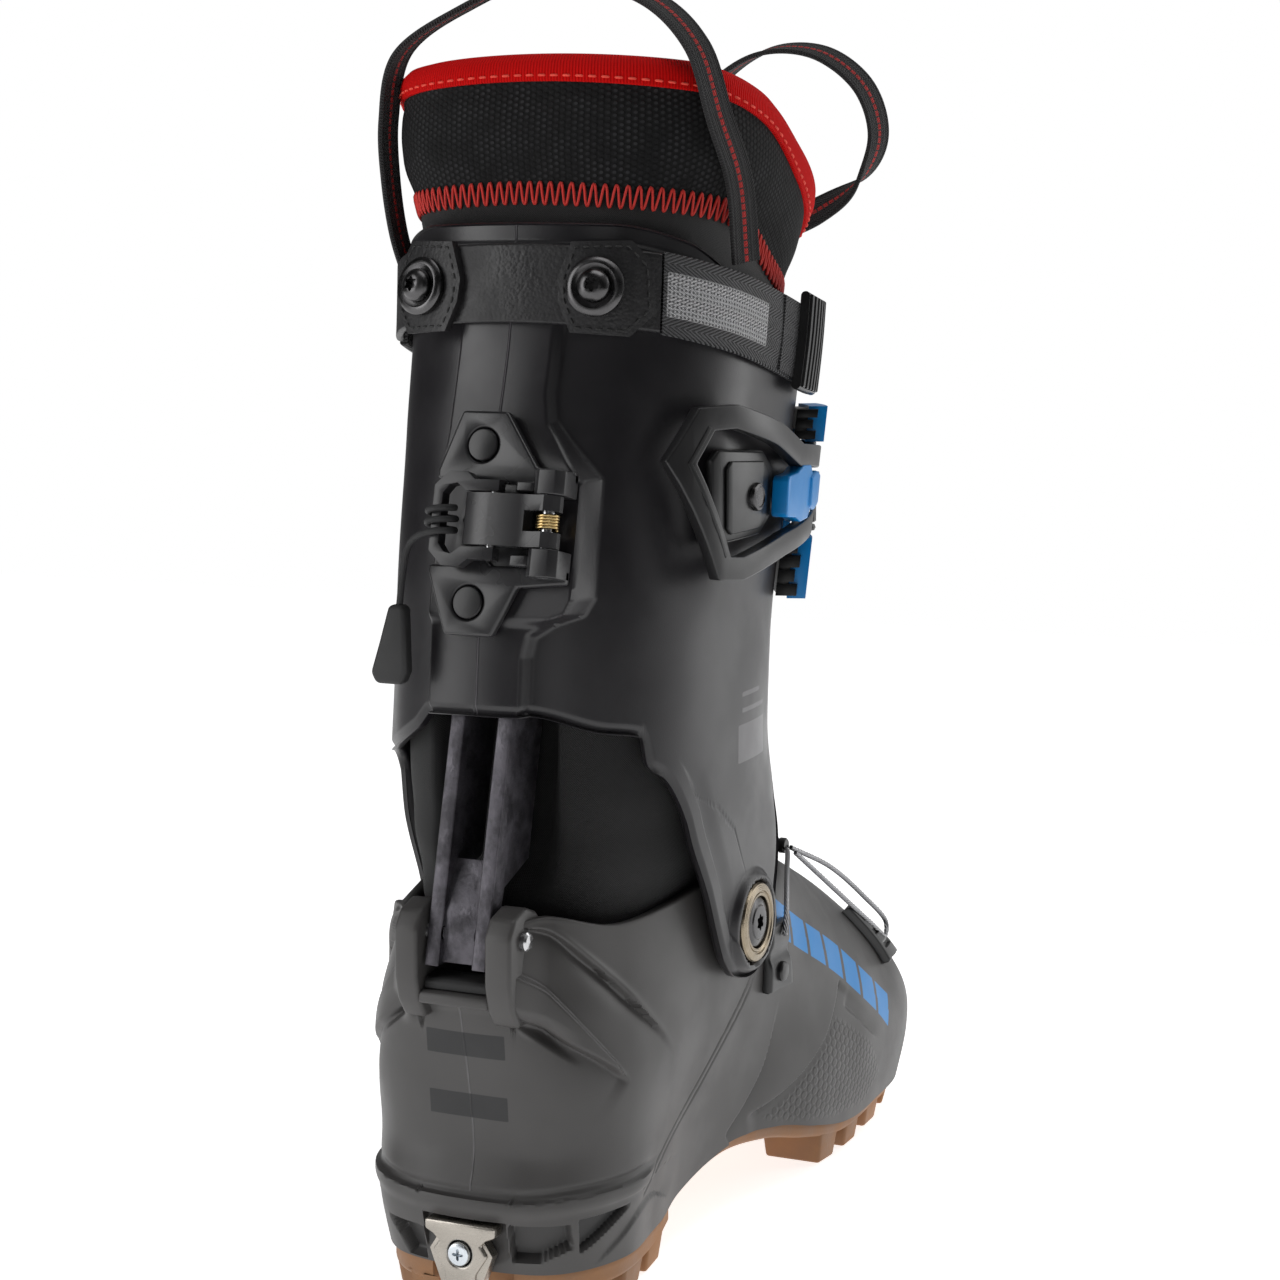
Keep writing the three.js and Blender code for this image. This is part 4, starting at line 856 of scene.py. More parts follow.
def shell_relief(points, normals):
    """Raised and sunk detail of the moulding in millimetres, and the attributes of its surface."""
    p = to_lateral(points)
    n = normals.copy()
    n[points[:, 0] < MIDDLE_X, 0] *= -1
    x, y, z = points.T
    side_y, side_z = p[:, 1], p[:, 2]
    relief = np.zeros(len(points))
    near = side_y < -60
    at_side = np.abs(p[:, 0]) > 12

    signed, fraction = signed_line(p, n, EAR_BAND)
    width = lerp(6.2, 0.6, smoothstep(fraction, 0, 1))
    medial = np.where(x < 0, 0.4, 1)
    raised = (1 - smoothstep(np.abs(signed), width - 0.6, width + 0.7)) * (1 - smoothstep(fraction, 0.8, 1))
    relief += 2.5 * raised * near * medial
    relief += step_down(signed + width * 0.9, fraction, 1.3, 6, start=0.2, end=0.1) * near
    signed, fraction = signed_line(p, n, EAR_CREASE)
    relief += step_down(signed, fraction, 3.0, 5, start=0.06, end=0.5) * near
    relief += 0.5 * np.exp(-((signed - 1.0) / 1.2) ** 2) * ends_fade(fraction, 0.1, 0.4) * near
    signed, fraction = signed_line(p, n, ARC_ONE)
    relief += step_down(-signed, fraction, 2.2, 7, start=0.5, end=0.02)
    signed, fraction = signed_line(p, n, ARC_TWO)
    relief += step_down(-signed, fraction, 1.5, 9, start=0.05, end=0.1)
    relief += groove(signed, fraction, 0.7, 1.0, 0.03, 0.1)
    signed, fraction = signed_line(p, n, SHORT_LINE)
    relief += step_down(-signed, fraction, 1.1, 4, start=0.1, end=0.4)
    signed, fraction = signed_line(p, n, DOUBLE_LINE)
    for offset in (-1.6, 1.6):
        relief += groove(signed + offset, fraction, 0.45, 0.7, 0.15, 0.03)
    signed, fraction = signed_line(p, n, FACET_LINE)
    relief += step_down(-signed, fraction, 1.0, 9, start=0.2, end=0.2) * (z < 34)

    heel = y < -100
    ledge = 96.5 - 8.5 * (x / 24) ** 2 - 3 * smoothstep(x, 5, 20)
    fading = 1 - smoothstep(np.abs(x), 24, 34)
    over = smoothstep(z, ledge - 1.6, ledge + 1.6) * (1 - smoothstep(z, ledge + 3, ledge + 9))
    relief -= 2.8 * over * fading * heel
    ridge_fade = 1 - smoothstep(side_y, -104, -86)
    ridge = 37.2 + 1.5 * smoothstep(np.abs(x), 15, 36)
    relief += 1.7 * (1 - smoothstep(z, ridge - 0.9, ridge)) * ridge_fade
    relief -= 0.9 * (1 - smoothstep(z, ridge - 6.5, ridge - 2.6)) * ridge_fade
    relief -= 0.6 * np.exp(-((z - ridge - 1.4) / 1.0) ** 2) * ridge_fade
    back = y < -118
    # recess marks the sunk pockets and the side triangle, which the shell material darkens as painted shade.
    recess = np.zeros(len(points))
    for polygon in ([(14.5, 29.5), (30, 29.5), (30, 22.5), (22, 18.5), (14.5, 18.5)],
                    [(-14.5, 25), (-28, 25), (-24, 20.5), (-20.5, 15), (-14.5, 15)]):
        pocket = smoothstep(in_polygon(x, z, polygon), -0.45, 0.45) * back
        relief -= 3.6 * pocket
        recess = np.maximum(recess, 0.6 * pocket)
    triangle = in_polygon(side_y, side_z, [(-126.5, 30.5), (-108.5, 30.5), (-124.5, 20.5)])
    triangle = smoothstep(triangle, -0.45, 0.45) * at_side * (side_y > -131)
    relief -= 2.6 * triangle
    recess = np.maximum(recess, triangle)

    # hairline: distance to the heel's parting line, a real ridge that the shell material also paints lighter as a
    # painted highlight.
    hairline = np.full(len(points), 9.0)
    seam = heel & (z > 38.5) & (z < ledge) & (np.abs(x) < 8)
    hairline[seam] = np.abs(x + 1.0 - 2.6 * np.clip((92 - z) / 52, 0, 1))[seam]
    panel = smoothstep(in_polygon(side_y, side_z, HEX_PANEL), 0.0, 3.5) * at_side
    accent_signed, _ = signed_line(p, n, ACCENT_LINE)
    _, _, along = to_polyline(p, ACCENT_LINE)
    lateral = points[:, 0] > 8
    accent = np.stack([np.where(lateral, along, -50), np.where(lateral, accent_signed, 50), along * 0], axis=1)
    bars = [in_polygon(x, z, rectangle(-13.5, 12.5, low, low + 7.5)) for low in (59.5, 78.5)]
    mark = np.where(heel, np.maximum(*bars), -9)
    return relief, {"hairline": hairline, "panel": panel, "accent": accent, "heel_mark": mark, "recess": recess}


# Values of the surface attributes where a moulding has no mark.
PLAIN = {"hairline": 9.0, "heel_mark": -9.0, "label": -9.0, "accent": (-50, 50, 0)}


def ladder(loop):
    """Quads that close a symmetrical loop, from its first vertex across to the middle one."""
    count = len(loop)
    half = count // 2
    faces = [[loop[0], loop[1], loop[count - 1]]]
    for k in range(1, half - 1):
        faces.append([loop[k], loop[k + 1], loop[count - k - 1], loop[count - k]])
    faces.append([loop[half - 1], loop[half], loop[half + 1]])
    return faces


def vessel_faces(rows, columns):
    """Faces of a closed vessel: grid rows, with the first and the last row closed by ladders."""
    faces = grid_faces(rows, columns, close_columns=True).tolist()
    faces += [face[::-1] for face in ladder(list(range(columns)))]
    return faces + ladder([(rows - 1) * columns + k for k in range(columns)])


def ear_bulge(points):
    """Swelling of the shell's rear rim that carries the ears of the lock bar and the lip between them."""
    x, y, z = points.T
    between = 1 - smoothstep(np.abs(x), 9.4, 12.8)
    across = lerp(5.2 * (1 - smoothstep(np.abs(x), 17, 25)), 2.0, between)
    foot = 96 - 7 * smoothstep(np.abs(x), 8, 22)
    return across * smoothstep(z, foot - 4.5, foot + 3.0) * (y < -112)


def make_shell():
    columns, rows = 1100, 210
    u = np.arange(columns) / columns
    bottom = SHELL.height_at(u, SOLE_LINE)
    rim = np.full(columns, 5.94)
    p = SHELL.point(u, rim)
    slot = SHELL.height_at(u, lambda y: np.full(len(y), 98.6))
    rim = np.where(p[:, 1] < -118, lerp(slot, rim, smoothstep(np.abs(p[:, 0]), 11.2, 13.5)), rim)
    t = np.linspace(0, 1, rows)[:, None]
    v = (bottom + (rim - bottom) * t).ravel()
    uu = np.tile(u, rows)
    points, normals = SHELL.point(uu, v), SHELL.normal(uu, v)
    relief, attributes = shell_relief(points, normals)
    keep = np.repeat(smoothstep(1 - t.ravel(), 0.0, 0.03), columns)
    outer = points + normals * (relief * keep)[:, None]
    outer[:, 1] -= ear_bulge(points)
    pocket = (np.abs(outer[:, 0]) < 13.6) & (outer[:, 2] < 30.2) & (outer[:, 1] < -120)
    outer[pocket, 1] = np.maximum(outer[pocket, 1], -135.3)
    layers = [outer]
    for rise, inset in rim_arc(1.1):
        lip = SHELL.offset(u, rim, -inset)
        lip[:, 1] -= ear_bulge(lip)
        lip[:, 2] += rise
        layers.append(lip)
    inner_low = SHELL.height_at(u, lambda y: np.full(len(y), 29.0))
    for rise, inset in rim_arc(1.1)[::-1]:
        lip = SHELL.offset(u, rim, inset - 3.6)
        lip[:, 2] += rise
        layers.append(lip)
    layers += [SHELL.offset(u, lerp(rim, inner_low, s), -3.7) for s in np.linspace(0, 1, 24)]
    points = np.concatenate(layers)
    count = len(points) // columns
    padded = {key: np.concatenate([values, np.repeat([PLAIN.get(key, 0)], len(points) - len(relief), axis=0)])
              for key, values in attributes.items()}
    shell = new_object("lower_shell_moulding", points, vessel_faces(count, columns), "shell", "shell", 50,
                       attributes=padded)
    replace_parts(shell, "lower_shell")
    ear = [(-139.6, 90), (-143.6, 96), (-145.2, 103), (-145, 117.5), (-141.5, 122.5), (-134, 124.8),
           (-128, 122.5), (-118, 112), (-121, 98), (-131, 90)]
    for name, low, high in (("lateral", 11, 19.6), ("medial", -18.6, -11)):
        hairline_off(prism("shell_ear_" + name, ear, low, high, along_x, "shell", "shell",
                           bevel=1.3, segments=4, smooth=50))
    lip = [(-143.8, 95.5), (-143.8, 98.2), (-142.6, 99.2), (-134, 99.2), (-134, 94)]
    hairline_off(prism("shell_rear_lip", lip, -11.4, 11.4, along_x, "shell", "shell",
                       bevel=0.8))


def hairline_off(obj):
    """Give a piece that shares a moulding's material the plain values of its attributes."""
    count = len(obj.data.vertices)
    for key, value in PLAIN.items():
        kind, field = ("FLOAT_VECTOR", "vector") if key == "accent" else ("FLOAT", "value")
        layer = obj.data.attributes.new(key, kind, "POINT")
        layer.data.foreach_set(field, np.repeat(np.float32([value]), count, axis=0).ravel())


make_shell()


# ------------------------------------------------------------------ cuff skin
CUFF_REAR = smooth_table([(85, -134), (140, -134), (183, -129.6), (210, -126.8), (258, -115.6), (292, -106.4),
                          (325, -103)])
CUFF_FRONT = smooth_table([(85, 42), (112, 36), (140, 17), (165, 14), (190, 15.4), (240, 24.4), (290, 29.2),
                           (325, 30)])
CUFF_HALF = smooth_table([(85, 51.5), (112, 51.5), (165, 52), (190, 52), (240, 54), (290, 57), (325, 58)])
CUFF_POWER = smooth_table([(85, 4), (112, 3.6), (140, 2.7), (165, 2.4), (325, 2.4)])
CUFF_WALL = 3.2
MEDIAL_ARM_SCALE = 0.985
LEVER_ORIGIN = np.array([0.0, -122.0, 234.0])
LEVER_TILT = math.radians(13)


def spine_height(z):
    return 4 * (1 - smoothstep(z, 288, 314))


def oval(phi, rear, front, half, power):
    a = (front - rear) / 2
    r = (np.abs(np.sin(phi) / half) ** power + np.abs(np.cos(phi) / a) ** power) ** (-1 / power)
    return r * np.sin(phi), (front + rear) / 2 - r * np.cos(phi)


SPINE_OUTLINE = [(-16.8, 60), (-16.8, 340), (15.0, 340), (15.0, 271), (16.6, 263), (24, 254), (30.2, 246.5),
                 (30.6, 213), (28.6, 208.6), (22, 206), (16.2, 202), (15.0, 196), (15.0, 60)]


def cuff_skin(phi, z, inset=0.0):
    phi, z = np.asarray(phi, float), np.asarray(z, float)
    inset = inset + 4.2 * smoothstep(-phi, math.radians(118), math.radians(150))
    lift = spine_height(z)
    x, y = oval(phi, CUFF_REAR(z) + lift + inset, CUFF_FRONT(z) - inset, CUFF_HALF(z) - inset, CUFF_POWER(z))
    rear = np.cos(phi) > 0
    plane = LEVER_ORIGIN[1] + (z - LEVER_ORIGIN[2]) * math.tan(LEVER_TILT) + 0.5 + inset
    boss = smoothstep(z, 204.5, 208) * (1 - smoothstep(z, 250, 262))
    flat_x, flat_z = np.broadcast_arrays(x, z)
    inside = in_polygon(flat_x.ravel(), flat_z.ravel(), SPINE_OUTLINE).reshape(flat_x.shape)
    mask = smoothstep(inside, -1.1, 1.1) * rear
    raised = y - lift
    raised = lerp(raised, np.minimum(raised, plane + 0.02 * np.maximum(np.abs(x) - 12, 0)), boss)
    y = lerp(y, raised, mask)
    x = np.where(phi < 0, x * MEDIAL_ARM_SCALE, x)
    return np.stack([x, y, z], axis=-1)


def skin_normal(skin, phi, z, rise):
    """Outward normals of a skin, from steps of 0.012 radians round it and of the given rise up it."""
    along = skin(phi + 0.012, z) - skin(phi - 0.012, z)
    up = skin(phi, z + rise) - skin(phi, z - rise)
    return unit(np.cross(along, up))


def side_angle(y, z):
    rear = CUFF_REAR(z) + spine_height(z)
    middle, a = (CUFF_FRONT(z) + rear) / 2, (CUFF_FRONT(z) - rear) / 2
    power = CUFF_POWER(z)
    x = CUFF_HALF(z) * (1 - np.minimum(np.abs((y - middle) / a), 1) ** power) ** (1 / power)
    return np.arctan2(x, middle - y)


def off_angle(phi, z, out):
    """Point the given distance out from the plain oval of the cuff, level."""
    phi, z = np.asarray(phi, float), np.asarray(z, float)
    lift = spine_height(z)

    def plain(angle):
        x, y = oval(angle, CUFF_REAR(z) + lift, CUFF_FRONT(z), CUFF_HALF(z), CUFF_POWER(z))
        on_rear = np.where(np.cos(angle) > 0, 1 - smoothstep(np.abs(x), 12.6, 15.6), 0)
        return np.stack([x, y - on_rear * lift, z + 0 * x], axis=-1)

    here = plain(phi)
    ahead = plain(phi + 0.01)
    normal = np.stack([ahead[..., 1] - here[..., 1], here[..., 0] - ahead[..., 0], 0 * here[..., 0]], axis=-1)
    normal /= np.linalg.norm(normal, axis=-1)[..., None]
    return here + normal * np.asarray(out, float)[..., None]


def off_side(y, z, out):
    return off_angle(side_angle(y, z), z, out)


ARM_END = [(-72, 111), (-64, 96), (-55, 88.6), (-42, 86), (-30, 89.5), (-24, 98), (-21, 112), (-14, 134),
           (-4, 150)]


def edge_table(rear_points, arm_points):
    """Lower edge of the cuff over the angle: rear points as (angle, height), those of the arm as (y, height)."""
    arm = [(float(side_angle(y, z)), z) for y, z in arm_points + ARM_END]
    return smooth_table(rear_points + arm + [(2.75, 158), (3.3, 159)])


LOWER_LATERAL = edge_table([(0, 178.5), (0.21, 178.5), (0.52, 173.4), (0.72, 171)],
                           [(-103, 162.4), (-97, 157.7), (-88.5, 143.7), (-81.7, 129)])
LOWER_MEDIAL = edge_table([(0, 178.5), (0.24, 178), (0.33, 172.5), (0.65, 162.5)],
                          [(-97, 159.5), (-88, 152), (-82.6, 134)])
UPPER_EDGE = smooth_table([(0, 320.5), (0.45, 320), (0.8, 315), (1.1, 305), (1.6, 296), (2.3, 288), (3.3, 283)])


def ring_wall_faces(rows, columns):
    """Faces of a wall that runs round its own section, with its two open ends closed."""
    faces = grid_faces(rows, columns, close_rows=True).tolist()
    faces.append([k * columns for k in range(rows)])
    faces.append([k * columns + columns - 1 for k in range(rows)][::-1])
    return faces


def slab(name, phi, low, high, skin, wall, rows, edges, material, body, relief=None, fill=None, inner_rows=20,
         smooth=50, zones=None, inner_skin=None):
    """Curved sheet of the given wall between two heights; edges are the radii of its lower and upper rim."""
    columns = len(phi)
    bottom, top = edges
    t = np.linspace(0, 1, rows)[:, None]
    z = (low + bottom) + (high - top - low - bottom) * t
    all_phi = np.tile(phi, rows)
    outer = skin(all_phi, z.ravel(), 0.0)
    attributes = {}
    if relief:
        outer, attributes = relief(all_phi, z.ravel(), outer)
    inner_skin = inner_skin or skin
    layers = [outer]
    layers += [skin(phi, high - top + rise, step) for rise, step in rim_arc(top)]
    layers += [inner_skin(phi, high - top + rise, wall - step) for rise, step in rim_arc(top)[::-1]]
    inner_z = [(low + bottom) + (high - top - low - bottom) * s for s in np.linspace(1, 0, inner_rows)]
    layers += [inner_skin(phi, z, wall) for z in inner_z]
    layers += [inner_skin(phi, low + bottom - rise, wall - step) for rise, step in rim_arc(bottom)]
    layers += [skin(phi, low + bottom - rise, step) for rise, step in rim_arc(bottom)[::-1]]
    points = np.concatenate(layers)
    total = len(points) // columns
    faces = ring_wall_faces(total, columns)
    arc = arc_lengths(skin(phi, (low + high) / 2, 0.0))
    uv = np.stack([np.tile(arc, total), points[:, 2]], axis=1)
    padded = {}
    for key, values in attributes.items():
        padded[key] = np.concatenate([values, np.full((total - rows) * columns, (fill or {}).get(key, 0.0))])
    obj = new_object(name, points, faces, material, body, smooth, uv=uv, attributes=padded)
    if zones:
        materials, chooser = zones
        for extra in materials:
            obj.data.materials.append(MATERIALS[extra][0])
        row = np.repeat(np.arange(total), columns - 1)
        column = np.tile(np.arange(columns - 1), total)
        centre = (points.reshape(total, columns, 3)[row, column])
        index = np.concatenate([chooser(row, phi[column], centre, rows), [0, 0]]).astype(np.int32)
        obj.data.polygons.foreach_set("material_index", index)
    return fix_normals(obj)


def spaced(segments):
    """Angles from a list of (start, end, count) in degrees."""
    parts = [np.linspace(a, b, n, endpoint=False) for a, b, n in segments]
    return np.radians(np.concatenate(parts + [[segments[-1][1]]]))


def cuff_edge_line(side):
    angles = np.linspace(0.02, 2.75, 400)
    heights = (LOWER_LATERAL if side > 0 else LOWER_MEDIAL)(angles)
    return cuff_skin(side * angles, heights)


LABEL = rectangle(-55, -30, 156, 168)
LABEL_BARS = [rectangle(-52, -31, 171.5, 173), rectangle(-52, -36, 176.5, 178)]


def cuff_relief(phi, z, points):
    x, y = points[:, 0], points[:, 1]
    normals = skin_normal(cuff_skin, phi, z, 1.0)
    relief = np.zeros(len(points))
    edge = np.full(len(points), 99.0)
    for side in (1, -1):
        chosen = (np.sign(phi) == side) | ((phi == 0) & (side == 1))
        line = cuff_edge_line(side)
        low = chosen & (z < 190)
        edge[low] = to_polyline(points[low], line[::3])[0]
    relief -= 1.5 * (1 - smoothstep(edge, 0.6, 3.4))
    hollow = smoothstep(edge, 7.6, 8.6) * (1 - smoothstep(edge, 8.8, 17)) * (1 - smoothstep(y, -48, -35))
    relief -= 0.7 * hollow * smoothstep(np.abs(x), 36, 46) * (1 - smoothstep(z, 148, 164))
    radius = np.hypot(y - PIVOT[1], z - PIVOT[2])
    at_side = np.abs(x) > 40
    relief += 2.1 * (1 - smoothstep(radius, 14.8, 17.2)) * at_side
    relief -= 2.3 * (1 - smoothstep(radius, 12.9, 13.5)) * at_side
    lateral = phi > 0
    dish = np.hypot((y + 88) / 24, (z - 238) / 42)
    relief -= 2.6 * (1 - smoothstep(dish, 0.15, 1.0)) * lateral * (x > 20)
    upper = (z > 268) * (np.cos(phi) > 0)
    shoulder = UPPER_EDGE(np.abs(phi)) - z
    relief -= 0.8 * (1 - smoothstep(shoulder, 5.0, 6.2)) * upper
    # hairline: distance to the spine seam, a real ridge that the cuff material also paints lighter as a painted
    # highlight.
    hairline = np.full(len(points), 9.0)
    seam = (np.abs(x) < 8) & (np.cos(phi) > 0)
    hairline[seam] = np.abs(x - 0.9)[seam]
    arc = to_polyline(points, [(50, -83, 151), (51.5, -70, 145), (52, -57, 136), (52, -48, 121)])[0]
    relief -= 0.3 * (1 - smoothstep(arc, 0.2, 0.6)) * lateral
    label = in_polygon(y, z, LABEL)
    for bar in LABEL_BARS:
        label = np.maximum(label, in_polygon(y, z, bar))
    label = np.where(lateral & (x > 30), label, -9)
    return points + normals * relief[:, None], {"hairline": hairline, "label": label}


def make_cuff():
    phi = spaced([(-187, -150, 26), (-150, -100, 70), (-100, -55, 100), (-55, -20, 60), (-20, 20, 110),
                  (20, 55, 80), (55, 100, 150), (100, 130, 60), (130, 168, 40)])
    low = np.where(phi < 0, LOWER_MEDIAL(np.abs(phi)), LOWER_LATERAL(np.abs(phi)))
    cuff = slab("cuff_moulding", phi, low, UPPER_EDGE(np.abs(phi)), cuff_skin, CUFF_WALL, 230, (0.7, 0.9),
                "cuff", "cuff", cuff_relief, {"hairline": 9.0, "label": -9.0}, 30)
    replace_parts(cuff, "cuff")


make_cuff()


# ------------------------------------------------------------------ liner
LINER_REAR = smooth_table([(118, -96), (200, -93.5), (235, -95), (262, -98), (370, -98)])
LINER_FRONT = smooth_table([(118, 1), (165, 1), (190, 2.5), (215, 7), (240, 13.5), (285, 18), (310, 27),
                            (340, 39), (370, 40)])
LINER_HALF = smooth_table([(118, 42.5), (150, 45), (240, 47.8), (285, 50.6), (305, 51.4), (345, 59), (370, 60)])
LINER_POWER = smooth_table([(118, 2.3), (300, 2.3), (340, 2.8)])
LINER_TOP = smooth_table([(0, 368.5), (0.73, 366.3), (1.18, 359.5), (1.655, 345.5), (2.3, 327), (2.7, 318)])
ZIGZAG_HEIGHT = smooth_table([(0, 329), (0.5, 327.5), (1.0, 324), (1.3, 317), (1.75, 306), (2.3, 297),
                              (2.7, 293)])
LINER_WALL = 9


def liner_skin(phi, z, inset=0.0):
    phi, z = np.asarray(phi, float), np.asarray(z, float)
    x, y = oval(phi, LINER_REAR(z) + inset, LINER_FRONT(z) - inset, LINER_HALF(z) - inset, LINER_POWER(z))
    return np.stack([x, y, z + 0 * x], axis=-1)


def liner_normal(phi, z):
    return skin_normal(liner_skin, phi, z, 1.5)


def liner_relief(phi, z, points):
    """Soft quilting: the collar swells between the sewn line and the binding, and dips along both."""
    normals = liner_normal(phi, z)
    seam = z - ZIGZAG_HEIGHT(np.abs(phi))
    top = LINER_TOP(np.abs(phi)) - z
    swell = 1.2 * smoothstep(seam, 4, 15) * smoothstep(top, 9, 22)
    dip = -0.7 * np.exp(-(seam / 5.0) ** 2) - 0.35 * np.exp(-((top - 10) / 2.0) ** 2)
    soft = 0.35 * np.sin(phi * 7 + z * 0.11) * np.sin(z * 0.19 + phi * 3) * smoothstep(seam, 4, 12)
    return points + normals * (swell + dip + soft)[:, None], {}


def stitches(name, path, normals, length, gap, radius, lift, material, body):
    """Row of separate sewn stitches, each a small bowed capsule pressed into the cloth at both ends."""
    arc = arc_lengths(path)
    count = int(arc[-1] // (length + gap))
    vertices, faces = [], []
    sides, steps = 6, 7
    ring = np.array(polygon_points(1, sides))[None, :, :, None]
    for k in range(count):
        at = k * (length + gap) + np.linspace(0, length, steps)
        centre = along_path(at, arc, path)
        up = unit(along_path(at, arc, normals))
        across = np.cross(up, unit(centre[-1] - centre[0]))
        bow = np.sin(np.linspace(0, np.pi, steps))
        centre = centre + up * (lift * bow - radius * 0.4)[:, None]
        size = (radius * (0.35 + 0.65 * np.minimum(1, bow * 3)))[:, None, None]
        points = centre[:, None] + (across[:, None] * ring[:, :, 0] + up[:, None] * ring[:, :, 1]) * size
        vertices.append(points.reshape(-1, 3))
        faces += [[k * sides * steps + i for i in face] for face in tube_faces(steps, sides)]
    return fix_normals(new_object(name, np.concatenate(vertices), faces, material, body, 180))


def zigzag(name, phi, height, skin, normal, pitch, tall, radius, material, body):
    """Continuous zigzag thread along a height line."""
    line = skin(phi, height(np.abs(phi)), 0.0)
    arc = arc_lengths(line)
    steps = int(arc[-1] / pitch) * 12
    at = np.linspace(0, arc[-1], steps)
    angle = np.interp(at, arc, phi)
    phase = at / pitch
    wave = 2 * np.abs(2 * (phase - np.floor(phase + 0.5))) - 1
    wave = np.tanh(wave * 1.9) / math.tanh(1.9)
    z = height(np.abs(angle)) + wave * tall / 2
    sunk = 0.35 - 0.35 * np.abs(wave) ** 6
    points = skin(angle, z, 0.0) + normal(angle, z) * (sunk - 0.25)[:, None]
    return sweep(name, points, polygon_points(radius, 6), normal(angle, z), material, body, smooth=180)


def make_liner_cuff():
    phi = spaced([(-152, 152, 420)])
    bottom = 124 + 0.42 * np.abs(liner_skin(phi, np.full(len(phi), 140.0))[:, 1] - PIVOT[1])
    top = LINER_TOP(np.abs(phi))

    def zone(row, angle, centre, rows):
        outside = row < rows + 1
        above = centre[:, 2] > ZIGZAG_HEIGHT(np.abs(angle))
        return np.where(outside, np.where(above, 0, 1), 2)

    liner = slab("liner_cuff_padding", phi, bottom, top, liner_skin, LINER_WALL, 150, (3.5, 4.3), "mesh",
                 "cuff", liner_relief, inner_rows=60, smooth=180,
                 zones=(["smooth_band", "lining"], zone))
    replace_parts(liner, "liner_cuff")

    reach = smooth_table([(0, 8.2), (1.0, 9.5), (1.7, 11.5), (2.7, 11)])(np.abs(phi))

    def proud(angle, z, inset=0.0):
        return liner_skin(angle, z, inset - 0.9)

    slab("liner_top_binding", phi, top + 0.7 - reach, top + 0.7, proud, LINER_WALL + 1.8, 14, (0.5, 5.2),
         "red", "cuff", inner_rows=8, smooth=180)
    lower = top + 0.7 - reach + 1.7
    stitches("binding_stitches", proud(phi, lower), liner_normal(phi, lower), 2.6, 1.3, 0.36, 0.35,
             "dash_thread", "cuff")
    zigzag("liner_zigzag", phi[4:-4], ZIGZAG_HEIGHT, liner_skin, liner_normal, 3.3, 6.6, 0.42, "red_thread",
           "cuff")


def make_liner_tongue():
    phi = spaced([(157, 203, 60)])

    def skin(angle, z, inset=0.0):
        return liner_skin(angle, z, inset + 0.5)

    def relief(angle, z, points):
        across = (np.degrees(angle) - 180) / 23
        crown = 1.6 * (1 - across**2) * smoothstep(330 - z, 0, 20)
        channels = -0.8 * np.exp(-((np.mod(z, 26) - 13) / 1.2) ** 2) * (1 - across**2)
        return points + liner_normal(angle, z) * (crown + channels)[:, None], {}

    tongue = slab("liner_tongue_padding", phi, np.full(len(phi), 150.0), np.full(len(phi), 330.0), skin, 8.5,
                  200, (3.5, 4.0), "smooth_band", "cuff", relief, inner_rows=40, smooth=180)
    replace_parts(tongue, "liner_tongue")


make_liner_cuff()
make_liner_tongue()

FOOT_RINGS = [
    [[0, -120, 36], [17, -117, 36], [28, -100, 36], [29, -60, 36], [31, -22, 36], [41, 30, 36], [42, 75, 36],
     [34, 112, 36], [-4, 133, 36]],
    [[0, -126, 50], [19, -121, 50], [32, -101, 50], [34, -60, 50], [36, -20, 50], [44.5, 30, 49], [45.5, 73, 46],
     [38, 112, 44], [-4, 137, 44]],
    [[0, -126, 70], [19, -121, 70], [33, -101, 70], [37, -60, 70], [37.5, -20, 70], [41.5, 30, 67], [40, 68, 61],
     [31, 104, 56], [-4, 128, 54]],
    [[0, -121, 90], [18, -117, 90], [32, -100, 90], [37, -60, 90], [37.5, -20, 90], [36, 26, 83], [31, 58, 76],
     [22, 90, 68], [-3, 113, 65]],
    [[0, -111, 105], [17, -108, 105], [30, -96, 105], [37, -60, 103], [36, -20, 99], [27, 20, 95], [19, 40, 92],
     [11, 60, 84], [-2, 74, 80]],
    [[0, -104, 114], [17, -101, 114], [30, -90, 114], [37, -58, 112], [34, -22, 107], [24, -2, 107],
     [16, 6, 107.5], [8, 10, 108], [0, 11, 108]],
]


def make_liner_foot():
    foot = RingSurface(FOOT_RINGS)
    columns = 240
    u = np.arange(columns) / columns
    one = np.ones(columns)
    layers = [foot.offset(u, 0 * one, -2.5), foot.offset(u, 0.06 * one, -0.8)]
    layers += [foot.offset(u, v * one, 0.0) for v in np.linspace(0.2, 4.95, 56)]
    for t in np.radians([30, 60, 90, 120, 150]):
        rim = foot.offset(u, 4.95 * one, -2.25 * (1 - math.cos(t)))
        rim[:, 2] += 2.0 * math.sin(t)
        layers.append(rim)
    layers += [foot.offset(u, v * one, -4.5) for v in np.linspace(4.95, 0.45, 24)]
    total = len(layers)
    points = np.concatenate(layers)
    uv = np.stack([np.tile(u * 620, total), points[:, 2]], axis=1)
    bootie = new_object("liner_foot_padding", points, vessel_faces(total, columns), "lining", "shell", 180,
                        uv=uv)
    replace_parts(bootie, "liner_foot")


make_liner_foot()


# Stretch sleeve between the two halves of the inner boot, seen in the window behind the ankle.
SLEEVE_LIMIT = smooth_table([(104, -126), (122, -121), (134, -110), (172, -101.5), (180, -101)])


